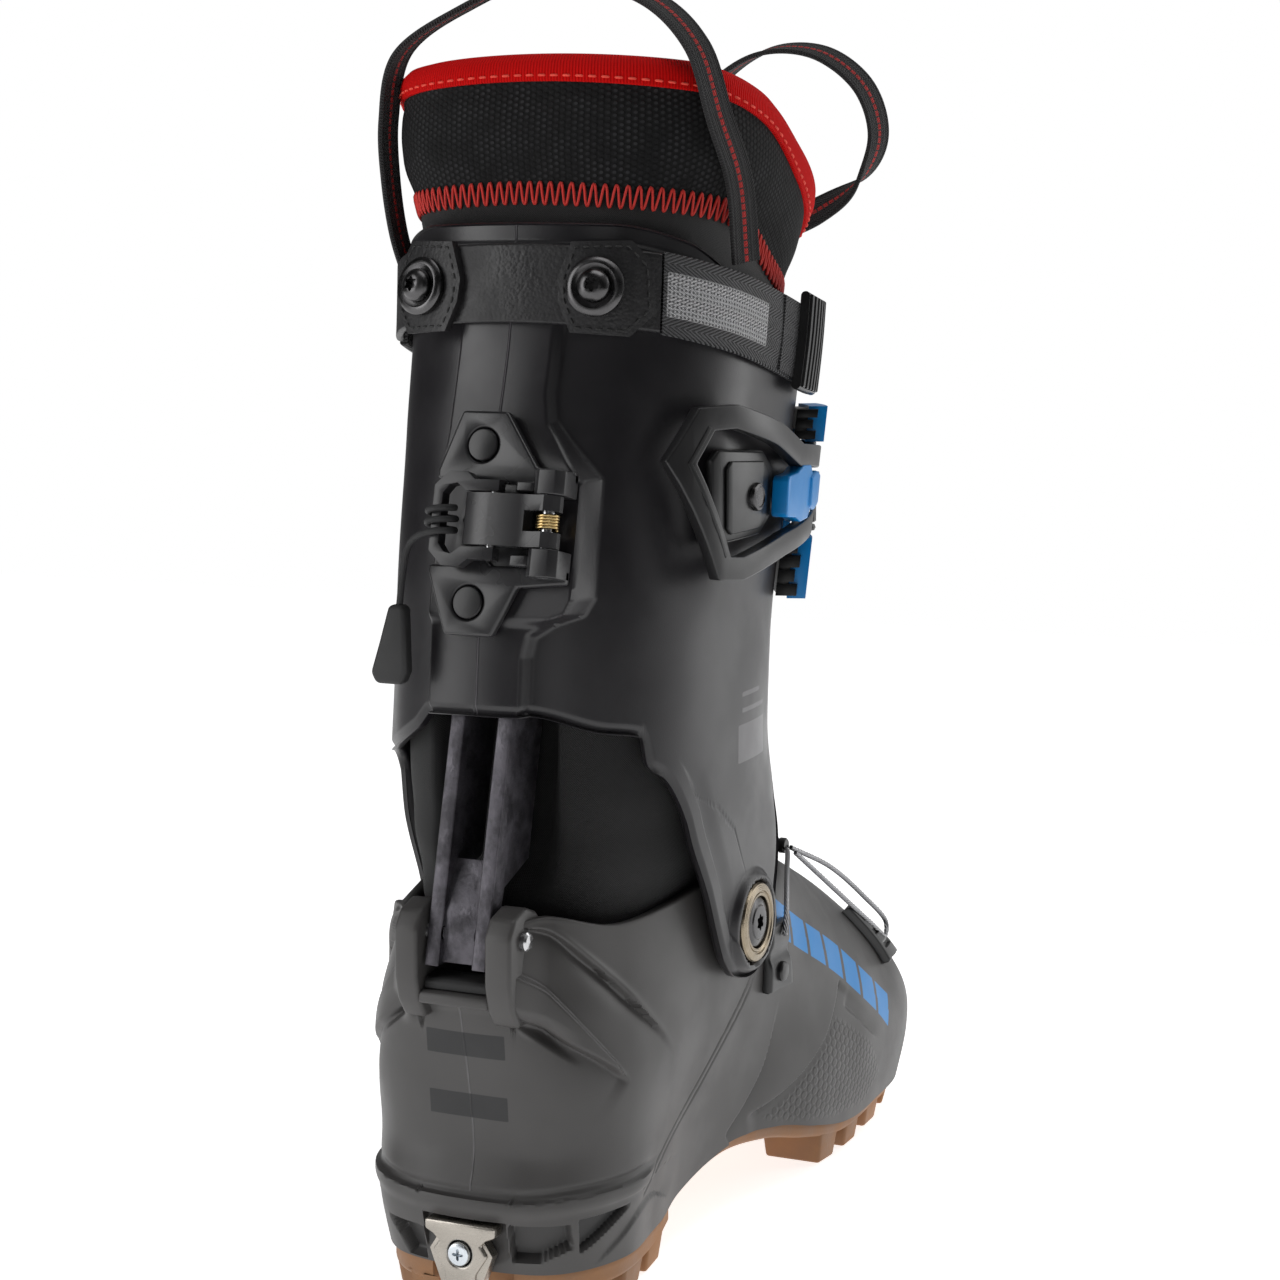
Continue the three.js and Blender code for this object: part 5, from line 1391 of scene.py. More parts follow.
def make_sleeve():
    columns = 200
    phi = np.linspace(-2.75, 2.75, columns)
    layers = []
    for s in np.linspace(0, 1, 60):
        z = lerp(104.0, 176.0, s)
        rear = lerp(-122.5, -119.5, smoothstep(s, 0.0, 0.55)) + 8 * (1 - smoothstep(s, 0.0, 0.25))
        half = lerp(41.0, 47.0, smoothstep(s, 0.1, 0.7))
        front = lerp(8.0, 3.0, s)
        x, y = oval(phi, rear, front, half, 2.4)
        y = lerp(np.maximum(y, SLEEVE_LIMIT(z)), y, smoothstep(np.abs(x), 13, 22))
        fold = 0.5 * np.sin(6 * np.pi * s + 0.8 * np.sin(2 * phi)) * np.exp(-((s - 0.35) / 0.3) ** 2)
        r = 1 + fold / 60
        layers.append(np.stack([x * r, (y + 42) * r - 42, np.full(columns, z)], axis=1))
    outer = np.concatenate(layers)
    inner = np.concatenate([layer * [0.975, 0.975, 1] + [0, -1.0, 0] for layer in layers[::-1]])
    points = np.concatenate([outer, inner])
    total = len(points) // columns
    faces = ring_wall_faces(total, columns)
    arc = arc_lengths(layers[30])
    uv = np.stack([np.tile(arc, total), points[:, 2]], axis=1)
    sleeve = new_object("ankle_sleeve", points, faces, "sleeve", None, 60, uv=uv)
    fix_normals(sleeve)
    tuple(to_scene([0, -60, 112]))
    tuple(to_scene([0, -60, 160]))
    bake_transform(sleeve)


make_sleeve()


# ------------------------------------------------------------------ frames for the fittings
def on_lever(points):
    """From the walk lever's frame (x lateral, y into the spine, z up it) to the part's millimetres."""
    p = np.atleast_2d(np.asarray(points, float))
    c, s = math.cos(LEVER_TILT), math.sin(LEVER_TILT)
    return LEVER_ORIGIN + np.stack([p[:, 0], p[:, 1] * c + p[:, 2] * s, -p[:, 1] * s + p[:, 2] * c], axis=1)


LEVER_UP = on_lever([0, 0, 1])[0] - LEVER_ORIGIN
LEVER_AWAY = on_lever([0, -1, 0])[0] - LEVER_ORIGIN


def lever_xz(a, b, h):
    return on_lever(np.stack([a, h, b], axis=1))


def lever_xy(a, b, h):
    return on_lever(np.stack([a, b, h], axis=1))


def star(radius, lobes=6, depth=0.17, steps=72):
    """Rounded star, for driver sockets and for the section of a laid cable."""
    swell = [1 + depth * math.cos(lobes * t) for t in np.linspace(0, 2 * np.pi, steps, endpoint=False)]
    return [(a * s, b * s) for (a, b), s in zip(polygon_points(radius, steps), swell)]


def wrap(obj, place, step=3.0):
    """Bend a flat piece, built with along_z, onto a curved face: place maps (a, b, h) to millimetres."""
    bm = bmesh.new()
    bm.from_mesh(obj.data)
    low = min(v.co.x for v in bm.verts)
    high = max(v.co.x for v in bm.verts)
    at = low + step / 1000
    while at < high:
        geometry = bm.verts[:] + bm.edges[:] + bm.faces[:]
        bmesh.ops.bisect_plane(bm, geom=geometry, plane_co=(at, 0, 0), plane_no=(1, 0, 0))
        at += step / 1000
    flat = np.array([v.co for v in bm.verts]) * 1000 - SHIFT
    moved = to_scene(place(flat[:, 0], flat[:, 1], flat[:, 2]))
    for vertex, co in zip(bm.verts, moved):
        vertex.co = co
    bm.to_mesh(obj.data)
    bm.free()
    finish_mesh(obj.data, 40)
    return fix_normals(obj)


def wrapped_prism(name, outline, low, high, place, material, body, bevel=0.5, step=3.0, segments=3):
    return wrap(prism(name, outline, low, high, along_z, material, body, bevel, segments=segments),
                place, step)


def join_pieces(first, *others):
    """Merge pieces of one material into the first."""
    bm = bmesh.new()
    for obj in (first, *others):
        bm.from_mesh(obj.data)
    bm.to_mesh(first.data)
    bm.free()
    for obj in others:
        bpy.data.objects.remove(obj)
    finish_mesh(first.data, 40)
    return first


# ------------------------------------------------------------------ pull cord of the walk lever
CORD_DOWN = [(-18.9, -133.2, 227.6), (-20, -133.5, 223.5), (-20.7, -133.7, 219), (-21.3, -133.9, 213.5),
             (-21.7, -134, 209.2), (-21.8, -134, 206)]
CORD_DIAMETER = 2.0


def cord_route():
    """Two loose turns round the claw's outer bar, then down to the tab."""
    turns = np.linspace(0, 2.2 * 2 * np.pi, 33)
    loop = np.stack([-9.6 + 4.1 * np.cos(turns), -8.2 - 4.0 * np.sin(turns), 3.2 - 3.3 * turns / (2 * np.pi)],
                    axis=1)
    leaving = [(-12.6, -12.0, -4.9), (-16.4, -10.8, -6.4)]
    return np.concatenate([on_lever(loop), on_lever(leaving), CORD_DOWN])


def make_cord():
    points = resample(cord_route(), 110)
    curve = bpy.data.curves.new("pull_cord", "CURVE")
    curve.dimensions = "3D"
    curve.bevel_depth = CORD_DIAMETER / 2000
    curve.bevel_resolution = 4
    curve.use_fill_caps = True
    spline = curve.splines.new("POLY")
    spline.points.add(len(points) - 1)
    spline.points.foreach_set("co", np.concatenate([to_scene(points), np.ones((len(points), 1))],
                                                   axis=1).ravel())
    curve.materials.append(MATERIALS["cord"][0])
    cord = bpy.data.objects.new("pull_cord_line", curve)
    bpy.context.scene.collection.objects.link(cord)
    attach(cord, "lock_claw")
    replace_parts(cord, "pull_cord")
    outline = [(-24.8, 209), (-24.3, 210.6), (-19.4, 210.6), (-18.9, 209), (-18.5, 191), (-20.2, 187.2),
               (-29, 187.2), (-30.6, 190.5), (-27.5, 200)]
    tab = prism("pull_tab_rubber", outline, -136.4, -131.4, along_y, "rubber", "lock_claw",
                bevel=1.5, segments=5, smooth=60)
    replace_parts(tab, "pull_tab")
    real = float(np.linalg.norm(np.diff(to_scene(points), axis=0), axis=1).sum())
    tuple(to_scene(points)[0])


make_cord()


# ------------------------------------------------------------------ walk lever
LEVER_PIN = (24.5, -8.0)
CLAW_PIN = (7.0, -8.0)
BRACKET_RIVETS = (("upper", 22.5), ("lower", -23.5))


def lever_cylinder(x, y, radius, low, high):
    return tool_cylinder(on_lever([x, y, 0])[0], LEVER_UP, radius, low, high, 40)


def lever_pin(name, x, y, radius, low, high, node, body):
    pin = lathe(name, pin_profile(radius, low, high, 0.4), on_lever([x, y, 0])[0], LEVER_UP, "pin", body)
    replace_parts(pin, node)


def rivet_place(z):
    return on_lever([-1.2, 0, z])[0]


def make_lever_bracket():
    """Upper and lower plates riveted to the spine, a bridge, and the ears of the hinge with stepped knuckles."""
    upper = [(-8.8, 32.4), (-15, 15), (-15, 12.3), (-6.5, 12.3), (-3.6, 9.6), (3.0, 9.6), (5, 11.5),
             (29.3, 11.5), (29.3, 15.5), (17, 16.5), (6, 32.4)]
    lower = [(-8, -33), (-15, -15.5), (-15, -12.8), (-6.5, -12.8), (-3.6, -10.2), (3, -10.2), (5, -12.5),
             (29.3, -12.5), (29.3, -17), (14, -18.5), (7.3, -33)]
    ear = [(19.9, -0.4), (29.3, -0.4), (29.3, -9), (27.4, -11.6), (22, -11.6), (19.9, -9.4)]
    knuckle = [(12.5, -0.5), (20.4, -0.5), (20.4, -6.6), (18.6, -8.2), (13.6, -8.2), (12.5, -6.4)]
    pieces = []
    for outline, (label, z) in zip((upper, lower), BRACKET_RIVETS):
        hole = tool_cylinder(rivet_place(z), LEVER_AWAY, 5.05, -2, 8)
        pieces.append(prism("lever_bracket_plate", outline, -3.4, -0.1, lever_xz, "bracket", "cuff", 0.9,
                            [hole]))
    pieces.append(prism("bridge", rectangle(-3, 16, -13, 12), -2.0, -0.2, lever_xz, "bracket", "cuff", 0.4))
    for low, high in ((7.75, 14.9), (-15.9, -7.75)):
        hole = lever_cylinder(*LEVER_PIN, 2.1, -30, 30)
        pieces.append(prism("ear", ear, low, high, lever_xy, "bracket", "cuff", 0.4, [hole]))
    for low, high in ((8.6, 11.7), (-12.7, -9.4)):
        pieces.append(prism("knuckle", knuckle, low, high, lever_xy, "bracket", "cuff", 0.6))
    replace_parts(join_pieces(*pieces), "lever_bracket")
    profile = [(0, 0.2), (4.7, 0.2), (4.7, 3.2), (4.45, 3.55), (4.1, 3.65), (0, 3.7)]
    for label, z in BRACKET_RIVETS:
        name = "bracket_rivet_" + label
        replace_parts(lathe(name + "_head", profile, rivet_place(z), LEVER_AWAY, "rivet", "cuff", 64), name)


def make_walk_lever():
    lever_pin("lever_hinge_pin", *LEVER_PIN, 1.9, -15.7, 14.7, "lever_pin", "cuff")
    lever_pin("claw_hinge_pin", *CLAW_PIN, 1.5, -11.4, 11.2, "claw_pin", "walk_lever")
    band = [(-1.4, -8.2), (-1.0, -10.3), (-0.2, -10.9), (7.4, -12.1), (16.5, -11.0), (21, -10.9), (24.5, -12.0),
            (27, -11.1), (28.4, -9), (28.4, -6.9), (27, -4.9), (24.5, -4), (20, -5.4), (8.6, -5.6), (0, -6.4),
            (-1.4, -7.2)]
    cuts = [lever_cylinder(*LEVER_PIN, 2.1, -30, 30), lever_cylinder(*LEVER_PIN, 4.6, -3, 3),
            tool_prism(rectangle(18.2, 32, -14, -2), -3, 3, lever_xy), lever_cylinder(*CLAW_PIN, 1.7, -30, 30)]
    plate = prism("walk_lever_band", band, -7.5, 7.5, lever_xy, "bracket", "walk_lever", 0.35, cuts)
    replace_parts(plate, "walk_lever")


def make_return_spring():
    """Five turns of brass-tone wire round the hinge pin."""
    turns = np.linspace(0, 5.3 * 2 * np.pi, 200)
    wire = np.stack([LEVER_PIN[0] + 2.95 * np.cos(turns), LEVER_PIN[1] + 2.95 * np.sin(turns),
                     np.linspace(-2.2, 2.2, 200)], axis=1)
    coil = sweep("return_spring_coil", on_lever(wire), polygon_points(0.42, 10), LEVER_UP, "spring", "cuff",
                 180)
    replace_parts(coil, "lever_spring")


def make_claw():
    """U of two arms beside the lever, with chamfered corners and a bar across that holds the cord."""
    outline = [(-11.6, 9.4), (-7.2, 13.6), (-1.5, 13.6), (1.2, 11.4), (9.2, 11.4), (9.2, 8.1), (-1.2, 8.1),
               (-4.4, 10.2), (-6.8, 9.6), (-8.7, 7.2), (-8.7, -7.4), (-6.8, -9.8), (-4.4, -10.4), (-1.2, -8.1),
               (9.2, -8.1), (9.2, -11.6), (1.2, -11.6), (-1.5, -13.8), (-7.2, -13.8), (-11.6, -9.6)]
    claw = prism("lock_claw_hook", outline, -10.6, -6.4, lever_xz, "bracket", "lock_claw", 0.9,
                 [lever_cylinder(*CLAW_PIN, 1.7, -30, 30)])
    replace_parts(claw, "lock_claw")


def make_pawl():
    prism("pawl_head", polygon_points(4.6, 6), -5.2, -2.6, lever_xz, "pawl", "lock_pawl", 0.5)
    profile = [(0, -2.8), (3, -2.8), (3, 7.7), (2.4, 8.2), (0, 8.2)]
    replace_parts(lathe("pawl_stem", profile, on_lever([0, 0, 0])[0], -LEVER_AWAY, "pin", "lock_pawl"),
                "lock_pawl")


make_lever_bracket()
make_walk_lever()
make_return_spring()
make_claw()
make_pawl()


# ------------------------------------------------------------------ buckle on the lateral side
BUCKLE_HEIGHT = 240.0
BUCKLE_PIN_Y, LINK_PIN_Y = 3.0, -19.0
LEVER_LIFT = 5.4
FRAME_LINE = [(4.6, 246.5), (-12, 248.2), (-34, 250.2), (-53, 258), (-74, 264), (-84, 263.7), (-92, 251.5),
              (-80.5, 219.6), (-72, 218.8), (-44.5, 223.4), (-14, 226.8), (4.6, 228.5)]


def on_side(a, b, h):
    return off_side(np.asarray(a, float), np.asarray(b, float), np.asarray(h, float))


def on_front(a, b, h):
    return off_angle(np.radians(a), np.asarray(b, float), np.asarray(h, float))


def ribbon_outline(line, half):
    """Outline of a strip of constant width along a flat line."""
    p = np.asarray(line, float)
    steps = np.diff(p, axis=0)
    steps /= np.linalg.norm(steps, axis=1)[:, None]
    before = np.vstack([steps[:1], steps])
    after = np.vstack([steps, steps[-1:]])
    along = before + after
    along /= np.linalg.norm(along, axis=1)[:, None]
    mitre = half / np.maximum((along * after).sum(1), 0.6)
    side = np.stack([-along[:, 1], along[:, 0]], axis=1) * mitre[:, None]
    return [tuple(q) for q in np.concatenate([p + side, (p - side)[::-1]])]


def pin_place(y):
    """Foot of an upright pin of the buckle, at height 0."""
    x, y, _ = off_side(y, BUCKLE_HEIGHT, LEVER_LIFT + 2.2)
    return [x, y, 0]


def upright(name, profile, y, material, body, segments):
    """Turned piece about an upright pin of the buckle."""
    return lathe(name, profile, pin_place(y), [0, 0, 1], material, body, segments)


def make_buckle_frame():
    """Open frame of the lever with its two hinge barrels, and the dark line let into its loop."""
    pieces = [wrapped_prism("buckle_lever_frame", ribbon_outline(FRAME_LINE, 3.5), LEVER_LIFT, LEVER_LIFT + 4.4,
                            on_side, "frame", "buckle_lever", 0.55, 2.5)]
    for low, high in ((225.5, 231.5), (243.5, 249.5)):
        profile = [(1.35, low), (2.6, low), (3.1, low + 0.5), (3.1, high - 0.5), (2.6, high), (1.35, high)]
        pieces.append(upright("barrel", profile, BUCKLE_PIN_Y, "frame", "buckle_lever", 40))
    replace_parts(join_pieces(*pieces), "buckle_lever")
    wrapped_prism("buckle_lever_inlay", ribbon_outline([(-83.6, 261.4), (-90.2, 251.2), (-80.2, 223)], 0.55),
                  LEVER_LIFT + 4.0, LEVER_LIFT + 4.55, on_side, "black", "buckle_lever", 0.1, 4)


def make_buckle_base():
    outline = [(-79, 226), (-52, 227), (-44, 232), (-44, 247), (-52, 252.5), (-76, 254), (-79, 251)]
    base = wrapped_prism("buckle_base_plate", outline, 1.2, 4.0, on_side, "black", "cuff", 0.8)
    outline = [(-73.5, 230.5), (-71.5, 228.5), (-54, 229), (-49.5, 233), (-49.5, 245.5), (-53, 249.5),
               (-71.5, 250.5), (-73.5, 248.5)]
    pad = wrapped_prism("buckle_base_pad", outline, 3.8, 5.0, on_side, "black", "cuff", 0.55, 2.5)
    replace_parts(join_pieces(base, pad), "buckle_base")
    spot, ahead = (off_side(-58.0, 239.0, out) for out in (0.0, 1.0))
    profile = [(0, 1.5), (4.3, 1.5), (4.3, 5.9), (4.0, 6.4), (3.2, 6.6), (2.9, 6.3), (0, 6.25)]
    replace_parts(lathe("buckle_rivet_head", profile, spot, ahead - spot, "dark_metal", "cuff"),
                "buckle_base_rivet")


def make_buckle_link():
    """Bow-tie bar of the link with a raised middle."""
    outline = [(-46, 233), (-45, 231.8), (-38, 231.2), (-33, 229.4), (-26, 229.8), (-22.5, 233.2), (-14, 234),
               (-11.5, 233.6), (-9.4, 231.8), (-4.6, 231.8), (-4, 232.6), (-4, 242), (-4.6, 242.8),
               (-9.4, 242.8), (-11.5, 242.2), (-14, 242), (-22.5, 243), (-26, 246.6), (-33, 247), (-38, 245),
               (-45, 244.4), (-46, 243.2)]
    link = wrapped_prism("buckle_link_bar", outline, LEVER_LIFT - 0.6, LEVER_LIFT + 4.8, on_side, "blue",
                         "buckle_link", 0.8, 2.5)
    outline = [(-26, 233.4), (-20, 231.9), (-14, 233.4), (-14, 242.8), (-20, 244.3), (-26, 242.8)]
    hump = wrapped_prism("hump", outline, LEVER_LIFT + 0.6, LEVER_LIFT + 5.6, on_side, "blue", "buckle_link",
                         0.9, 2.0)
    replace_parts(join_pieces(link, hump), "buckle_link")


def make_buckle_pins():
    for name, y, radius, low, high, body, node in (
            ("buckle_hinge_pin", BUCKLE_PIN_Y, 1.2, 217, 256, "cuff", "buckle_pin"),
            ("link_hinge_pin", LINK_PIN_Y, 1.0, 231, 244.6, "buckle_lever", "link_pin")):
        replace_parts(upright(name, pin_profile(radius, low, high, 0.3), y, "pin", body, 24), node)


def make_buckle_knuckles():
    knuckles = []
    for low in (222.6, 232.2, 239.8, 249.9):
        profile = [(1.3, low), (2.6, low + 0.3), (3.0, low + 1.2), (2.6, low + 2.2), (1.3, low + 2.5)]
        knuckles.append(upright("buckle_knuckles", profile, BUCKLE_PIN_Y, "black", "cuff", 32))
    join_pieces(*knuckles)


def front_block(name, a0, a1, b0, b1, low, high, material, step=3.0):
    """Nearly sharp block on the front of the cuff, between two angles and two heights."""
    return wrapped_prism(name, rectangle(a0, a1, b0, b1), low, high, on_front, material, "cuff", 0.05, step)


def make_buckle_rack():
    """Blue rack plates joined by a spine, and the dark toothed blocks under them."""
    plates = [front_block("buckle_rack_plates", 128, 143, z0, z1, 4.4, 10.4, "blue")
              for z0, z1 in ((203, 222), (252.3, 263.5))]
    spine = front_block("spine", 131, 141, 215, 256, 0.6, 2.8, "blue")
    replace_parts(join_pieces(*plates, spine), "buckle_rack")
    teeth = []
    for z0, z1, count in ((203.6, 221.4, 4), (252.8, 263, 3)):
        pitch = (z1 - z0) / count
        for k in range(count):
            low = z0 + pitch * k + 0.4
            teeth.append(front_block("buckle_rack_teeth", 126.4, 131, low, low + pitch - 0.8, 0.9,
                                     7.5 - 1.2 * (k % 2), "black", 2.0))
        teeth.append(front_block("rail", 127.2, 142, z0 + 0.4, z1 - 0.4, 0.8, 4.5, "black"))
    join_pieces(*teeth)


make_buckle_frame()
make_buckle_base()
make_buckle_link()
make_buckle_pins()
make_buckle_rack()
make_buckle_knuckles()


# ------------------------------------------------------------------ power strap
STRAP_HEIGHT = smooth_table([(0, 303), (0.55, 301), (1, 295.5), (1.45, 289), (2, 283), (3.14, 279)])


def strap_point(phi, up, out):
    phi = np.asarray(phi, float)
    turn = np.where(phi > np.pi, 2 * np.pi - phi, np.abs(phi))
    z = STRAP_HEIGHT(turn) + up
    x, y = oval(phi, CUFF_REAR(z) - out, CUFF_FRONT(z) + out, CUFF_HALF(z) + out, CUFF_POWER(z))
    return np.stack([x, y, z], axis=-1)


def strip(name, start, end, low, high, near, far, material, columns, radius=0.9, wave=None, attributes=None):
    """Flat band round the cuff between two angles in degrees, with rounded edges."""
    phi = np.radians(np.linspace(start, end, columns))
    middle = (low + high) / 2
    upward = np.linspace(low + radius, high - radius, 24)
    flat = np.ones(24)
    turns = np.radians([75, 45, 15, -15, -45, -75])
    bulge_up, bulge_out = radius * np.cos(turns), (far - near) / 2 * np.sin(turns)
    depth = (far + near) / 2
    ups = np.concatenate([upward, high - radius + bulge_up, upward[::-1], low + radius - bulge_up])
    outs = np.concatenate([far * flat, depth + bulge_out, near * flat, depth - bulge_out])
    points = []
    for angle in phi:
        bulge = wave(np.degrees(angle), ups) if wave else 0
        points.append(strap_point(np.full(len(ups), angle), ups, outs + bulge))
    grid = np.array(points)
    rows, count = grid.shape[:2]
    faces = tube_faces(rows, count)
    arc = arc_lengths(grid[:, 12])
    uv = np.stack([np.repeat(arc, count), np.tile(ups - middle, rows)], axis=1)
    extra = {key: value(np.repeat(np.degrees(phi), count), np.tile(ups - middle, rows))
             for key, value in (attributes or {}).items()}
    return fix_normals(new_object(name, grid.reshape(-1, 3), faces, material, "cuff", 60, uv=uv,
                                  attributes=extra))


def strap_ripple(angle, ups):
    return 0.35 * np.sin(np.radians(angle) * 9) * np.cos(ups * 0.16)


def patch_mask(angle, up):
    return np.minimum.reduce([angle - 39.6, 78.0 - angle, 6.4 - np.abs(up)])


def level(value):
    """Attribute with the same value everywhere."""
    return lambda angle, up: np.full(np.shape(angle), value)


def hook_tape(angle, up):
    """Hook tape between 122 and 165 degrees round the strap."""
    return np.minimum(angle - 122, 165 - angle)


def make_bands():
    rear = strip("strap_rear_band_leather", -54, 38, -11.5, 11.5, 0.6, 2.9, "leather", 180,
                 wave=lambda angle, ups: 0.2 * np.cos(np.radians(angle) * 13))
    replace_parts(rear, "strap_rear_band")
    strap = strip("power_strap_webbing", 38.6, 302, -12, 12, 0.6, 2.8, "strap", 420, wave=strap_ripple,
                  attributes={"patch": patch_mask, "velcro": hook_tape})
    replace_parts(strap, "power_strap")
    end = strip("strap_end_pad", 100, 123, -15, 15, 3.4, 6.2, "black", 50, radius=1.3)
    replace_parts(end, "strap_end")
    join_pieces(*(strip("strap_end_ribs", 101 + 3.6 * k, 102.6 + 3.6 * k, -14.2, 14.2, 6.0, 6.9, "black", 6,
                        radius=0.4) for k in range(6)))
    strip("strap_fold_webbing", 88, 112, -11.4, 11.4, 2.7, 3.5, "strap", 60, radius=0.4,
          attributes={"patch": level(-9.0), "velcro": level(1.0)})


def on_strap(a, b, h):
    return strap_point(np.radians(a), b, h)


def make_strap_tab(side, label):
    """Leather tab at one end of the rear band, with a row of stitches inside its edge."""
    outline = [(20.5, 1.5), (23.5, 12.5), (37.5, 14.0), (42.5, 8), (43.5, -6), (37.5, -13.5), (24, -13.5),
               (21, -5)]
    inward = 7.0 if side > 0 else 9.0
    outline = [(side * (a - inward), b) for a, b in outline]
    tab = wrapped_prism("strap_tab_" + label + "_leather", outline, 2.7, 5.0, on_strap, "leather", "cuff",
                        0.02, 1.5)
    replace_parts(tab, "strap_tab_" + label)
    middle = np.mean(outline, axis=0)
    inner = np.array([middle + (np.array(q) - middle) * [0.87, 0.88] for q in outline + outline[:1]])
    at = np.linspace(0, 8, 161)
    path, ahead = (on_strap(*(np.interp(at, range(9), inner[:, k]) for k in (0, 1)), h) for h in (5.05, 6.05))
    stitches("strap_tab_" + label + "_stitches", path, ahead - path, 2.2, 0.9, 0.33, 0.3, "black_thread",
             "cuff")


def make_strap_bolt(side, label):
    centre = strap_point(math.radians(side * 22.5), 0.0, 6.0)
    outward = unit([side * 0.22, -0.96, 0.17])
    ring = [(4.2, -0.9), (8.2, -0.9), (8.6, -0.3), (8.6, 1.5), (8.3, 1.9), (7.2, 2.5), (6.6, 2.6), (5.6, 2.1),
            (4.2, 2.0)]
    washer = lathe("strap_washer_" + label + "_turned", ring, centre, outward, "dark_metal", "cuff", 64)
    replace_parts(washer, "strap_washer_" + label)
    head = [(0, 0.9), (3.8, 0.9), (3.8, 2.3), (4.8, 2.3), (4.9, 3.0), (4.6, 3.9), (3.9, 4.7), (2.9, 5.3),
            (2.2, 5.5), (0, 5.6)]
    bolt = driven_head("strap_bolt_" + label + "_head", head, centre, outward, "dark_metal", "cuff", 64,
                       star(2.0), 3.6)
    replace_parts(bolt, "strap_bolt_" + label)


make_bands()
for side, label in SIDES:
    make_strap_tab(side, label)
    make_strap_bolt(side, label)


# ------------------------------------------------------------------ pull loops
REAR_LOOP = [(-49.5, -75.5, 304), (-52.2, -78.5, 317), (-53.5, -81, 334), (-53.4, -82, 352),
             (-49, -81, 371.5), (-29, -77, 385), (-9.5, -74, 391.5), (28, -76, 387), (49.5, -83, 371),
             (54.5, -77, 350), (57, -69, 333.4), (57, -63, 309)]
FRONT_LOOP = [(-13, 27.5, 304), (-13.3, 31.8, 315), (-13.8, 37.4, 327), (-13.6, 43, 341), (-12, 46.5, 354),
              (6, 42, 372), (24, 38, 379), (42, 38, 377), (55, 42, 366), (58.5, 46, 350), (52, 46, 336),
              (38, 43.2, 326), (23, 37, 318), (15, 31.5, 309), (12.5, 27, 300)]


def front_tape_across(t):
    """The front tape lies flat on the tongue at both ends and stands on edge between them."""
    start, end = 1 - smoothstep(t, 0.12, 0.32), smoothstep(t, 0.68, 0.85)
    standing = np.array([0.38, 0.88, 0.28]) * (1 - start - end)[:, None]
    return standing + np.array([1, 0, 0]) * start[:, None] + np.array([-0.6, 0.12, 0.62]) * end[:, None]


def rear_tape_across(t):
    """The rear tape stands nearly on edge and leans over toward its medial end."""
    return np.stack([lerp(-0.05, 0.6, t), lerp(0.97, 0.8, t), np.full(len(t), 0.22)], axis=1)


def loop_profile():
    """Woven tape 9.6 mm wide with a slight bead along each edge."""
    top = [(x, 0.62 + 0.18 * smoothstep(abs(x), 3.5, 4.3)) for x in np.linspace(4.4, -4.4, 25)]
    edge = [(-4.7, 0.4), (-4.8, 0), (-4.7, -0.4)]
    return top + edge + [(x, -y) for x, y in top[::-1]] + [(-x, y) for x, y in edge[::-1]]


def make_loops():
    steps = 170
    for name, line, across, node in (("rear_loop_tape", REAR_LOOP, rear_tape_across, "liner_loop_rear"),
                                     ("front_loop_tape", FRONT_LOOP, front_tape_across, "liner_loop_front")):
        tape = sweep(name, resample(line, steps), loop_profile(), across(np.linspace(0, 1, steps)), "tape",
                     "cuff", 60)
        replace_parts(tape, node)


make_loops()


# ------------------------------------------------------------------ lean lock bar and heel fittings
HEEL_PIN = (-137.0, 115.5)
SCREW_Z = 20.2
BAR_OUTLINE = [(-142.5, 106.5), (-124.6, 178), (-113.2, 236), (-106.5, 236), (-104, 205), (-105.2, 172),
               (-114.2, 134.5), (-130, 128.5), (-132.5, 122), (-132.5, 106.5)]
WEB_OUTLINE = [(-139.3, 107.2), (-138.4, 116), (-137.6, 122), (-130.4, 136.5), (-127.5, 134.5), (-130.2, 121),
               (-132.5, 107.2)]


def pin_hole(y, z, radius):
    return tool_cylinder([0, y, z], [1, 0, 0], radius, -60, 60)


def make_bar():
    """Forged lock bar: two rails, a web recessed between them and a bridge at the top."""
    rails = [prism("lock_bar_rails", BAR_OUTLINE, low, low + 4.6, along_x, "forged", "lock_bar", 0.5,
                   [pin_hole(*HEEL_PIN, 2.8)]) for low in (5.4, -10)]
    web = prism("web", WEB_OUTLINE, -9, 9, along_x, "forged", "lock_bar", 0.3, [pin_hole(*HEEL_PIN, 1.1)])
    bridge = prism("bridge", rectangle(-112.2, -107.4, 224, 227), -9, 9, along_x, "forged", "lock_bar", 0.5)
    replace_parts(join_pieces(*rails, web, bridge), "lock_bar")
    profile = [(0, -20.5), (2.1, -20.5), (2.5, -20.1), (2.5, -5.2), (1.0, -5), (1.0, 5), (2.5, 5.2),
               (2.5, 20.2), (2.9, 20.4), (2.9, 21.2), (2.2, 21.8), (0, 22)]
    pin = lathe("lock_bar_pin_turned", profile, [0, *HEEL_PIN], [1, 0, 0], "pin", "shell", 40)
    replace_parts(pin, "lock_bar_pin")


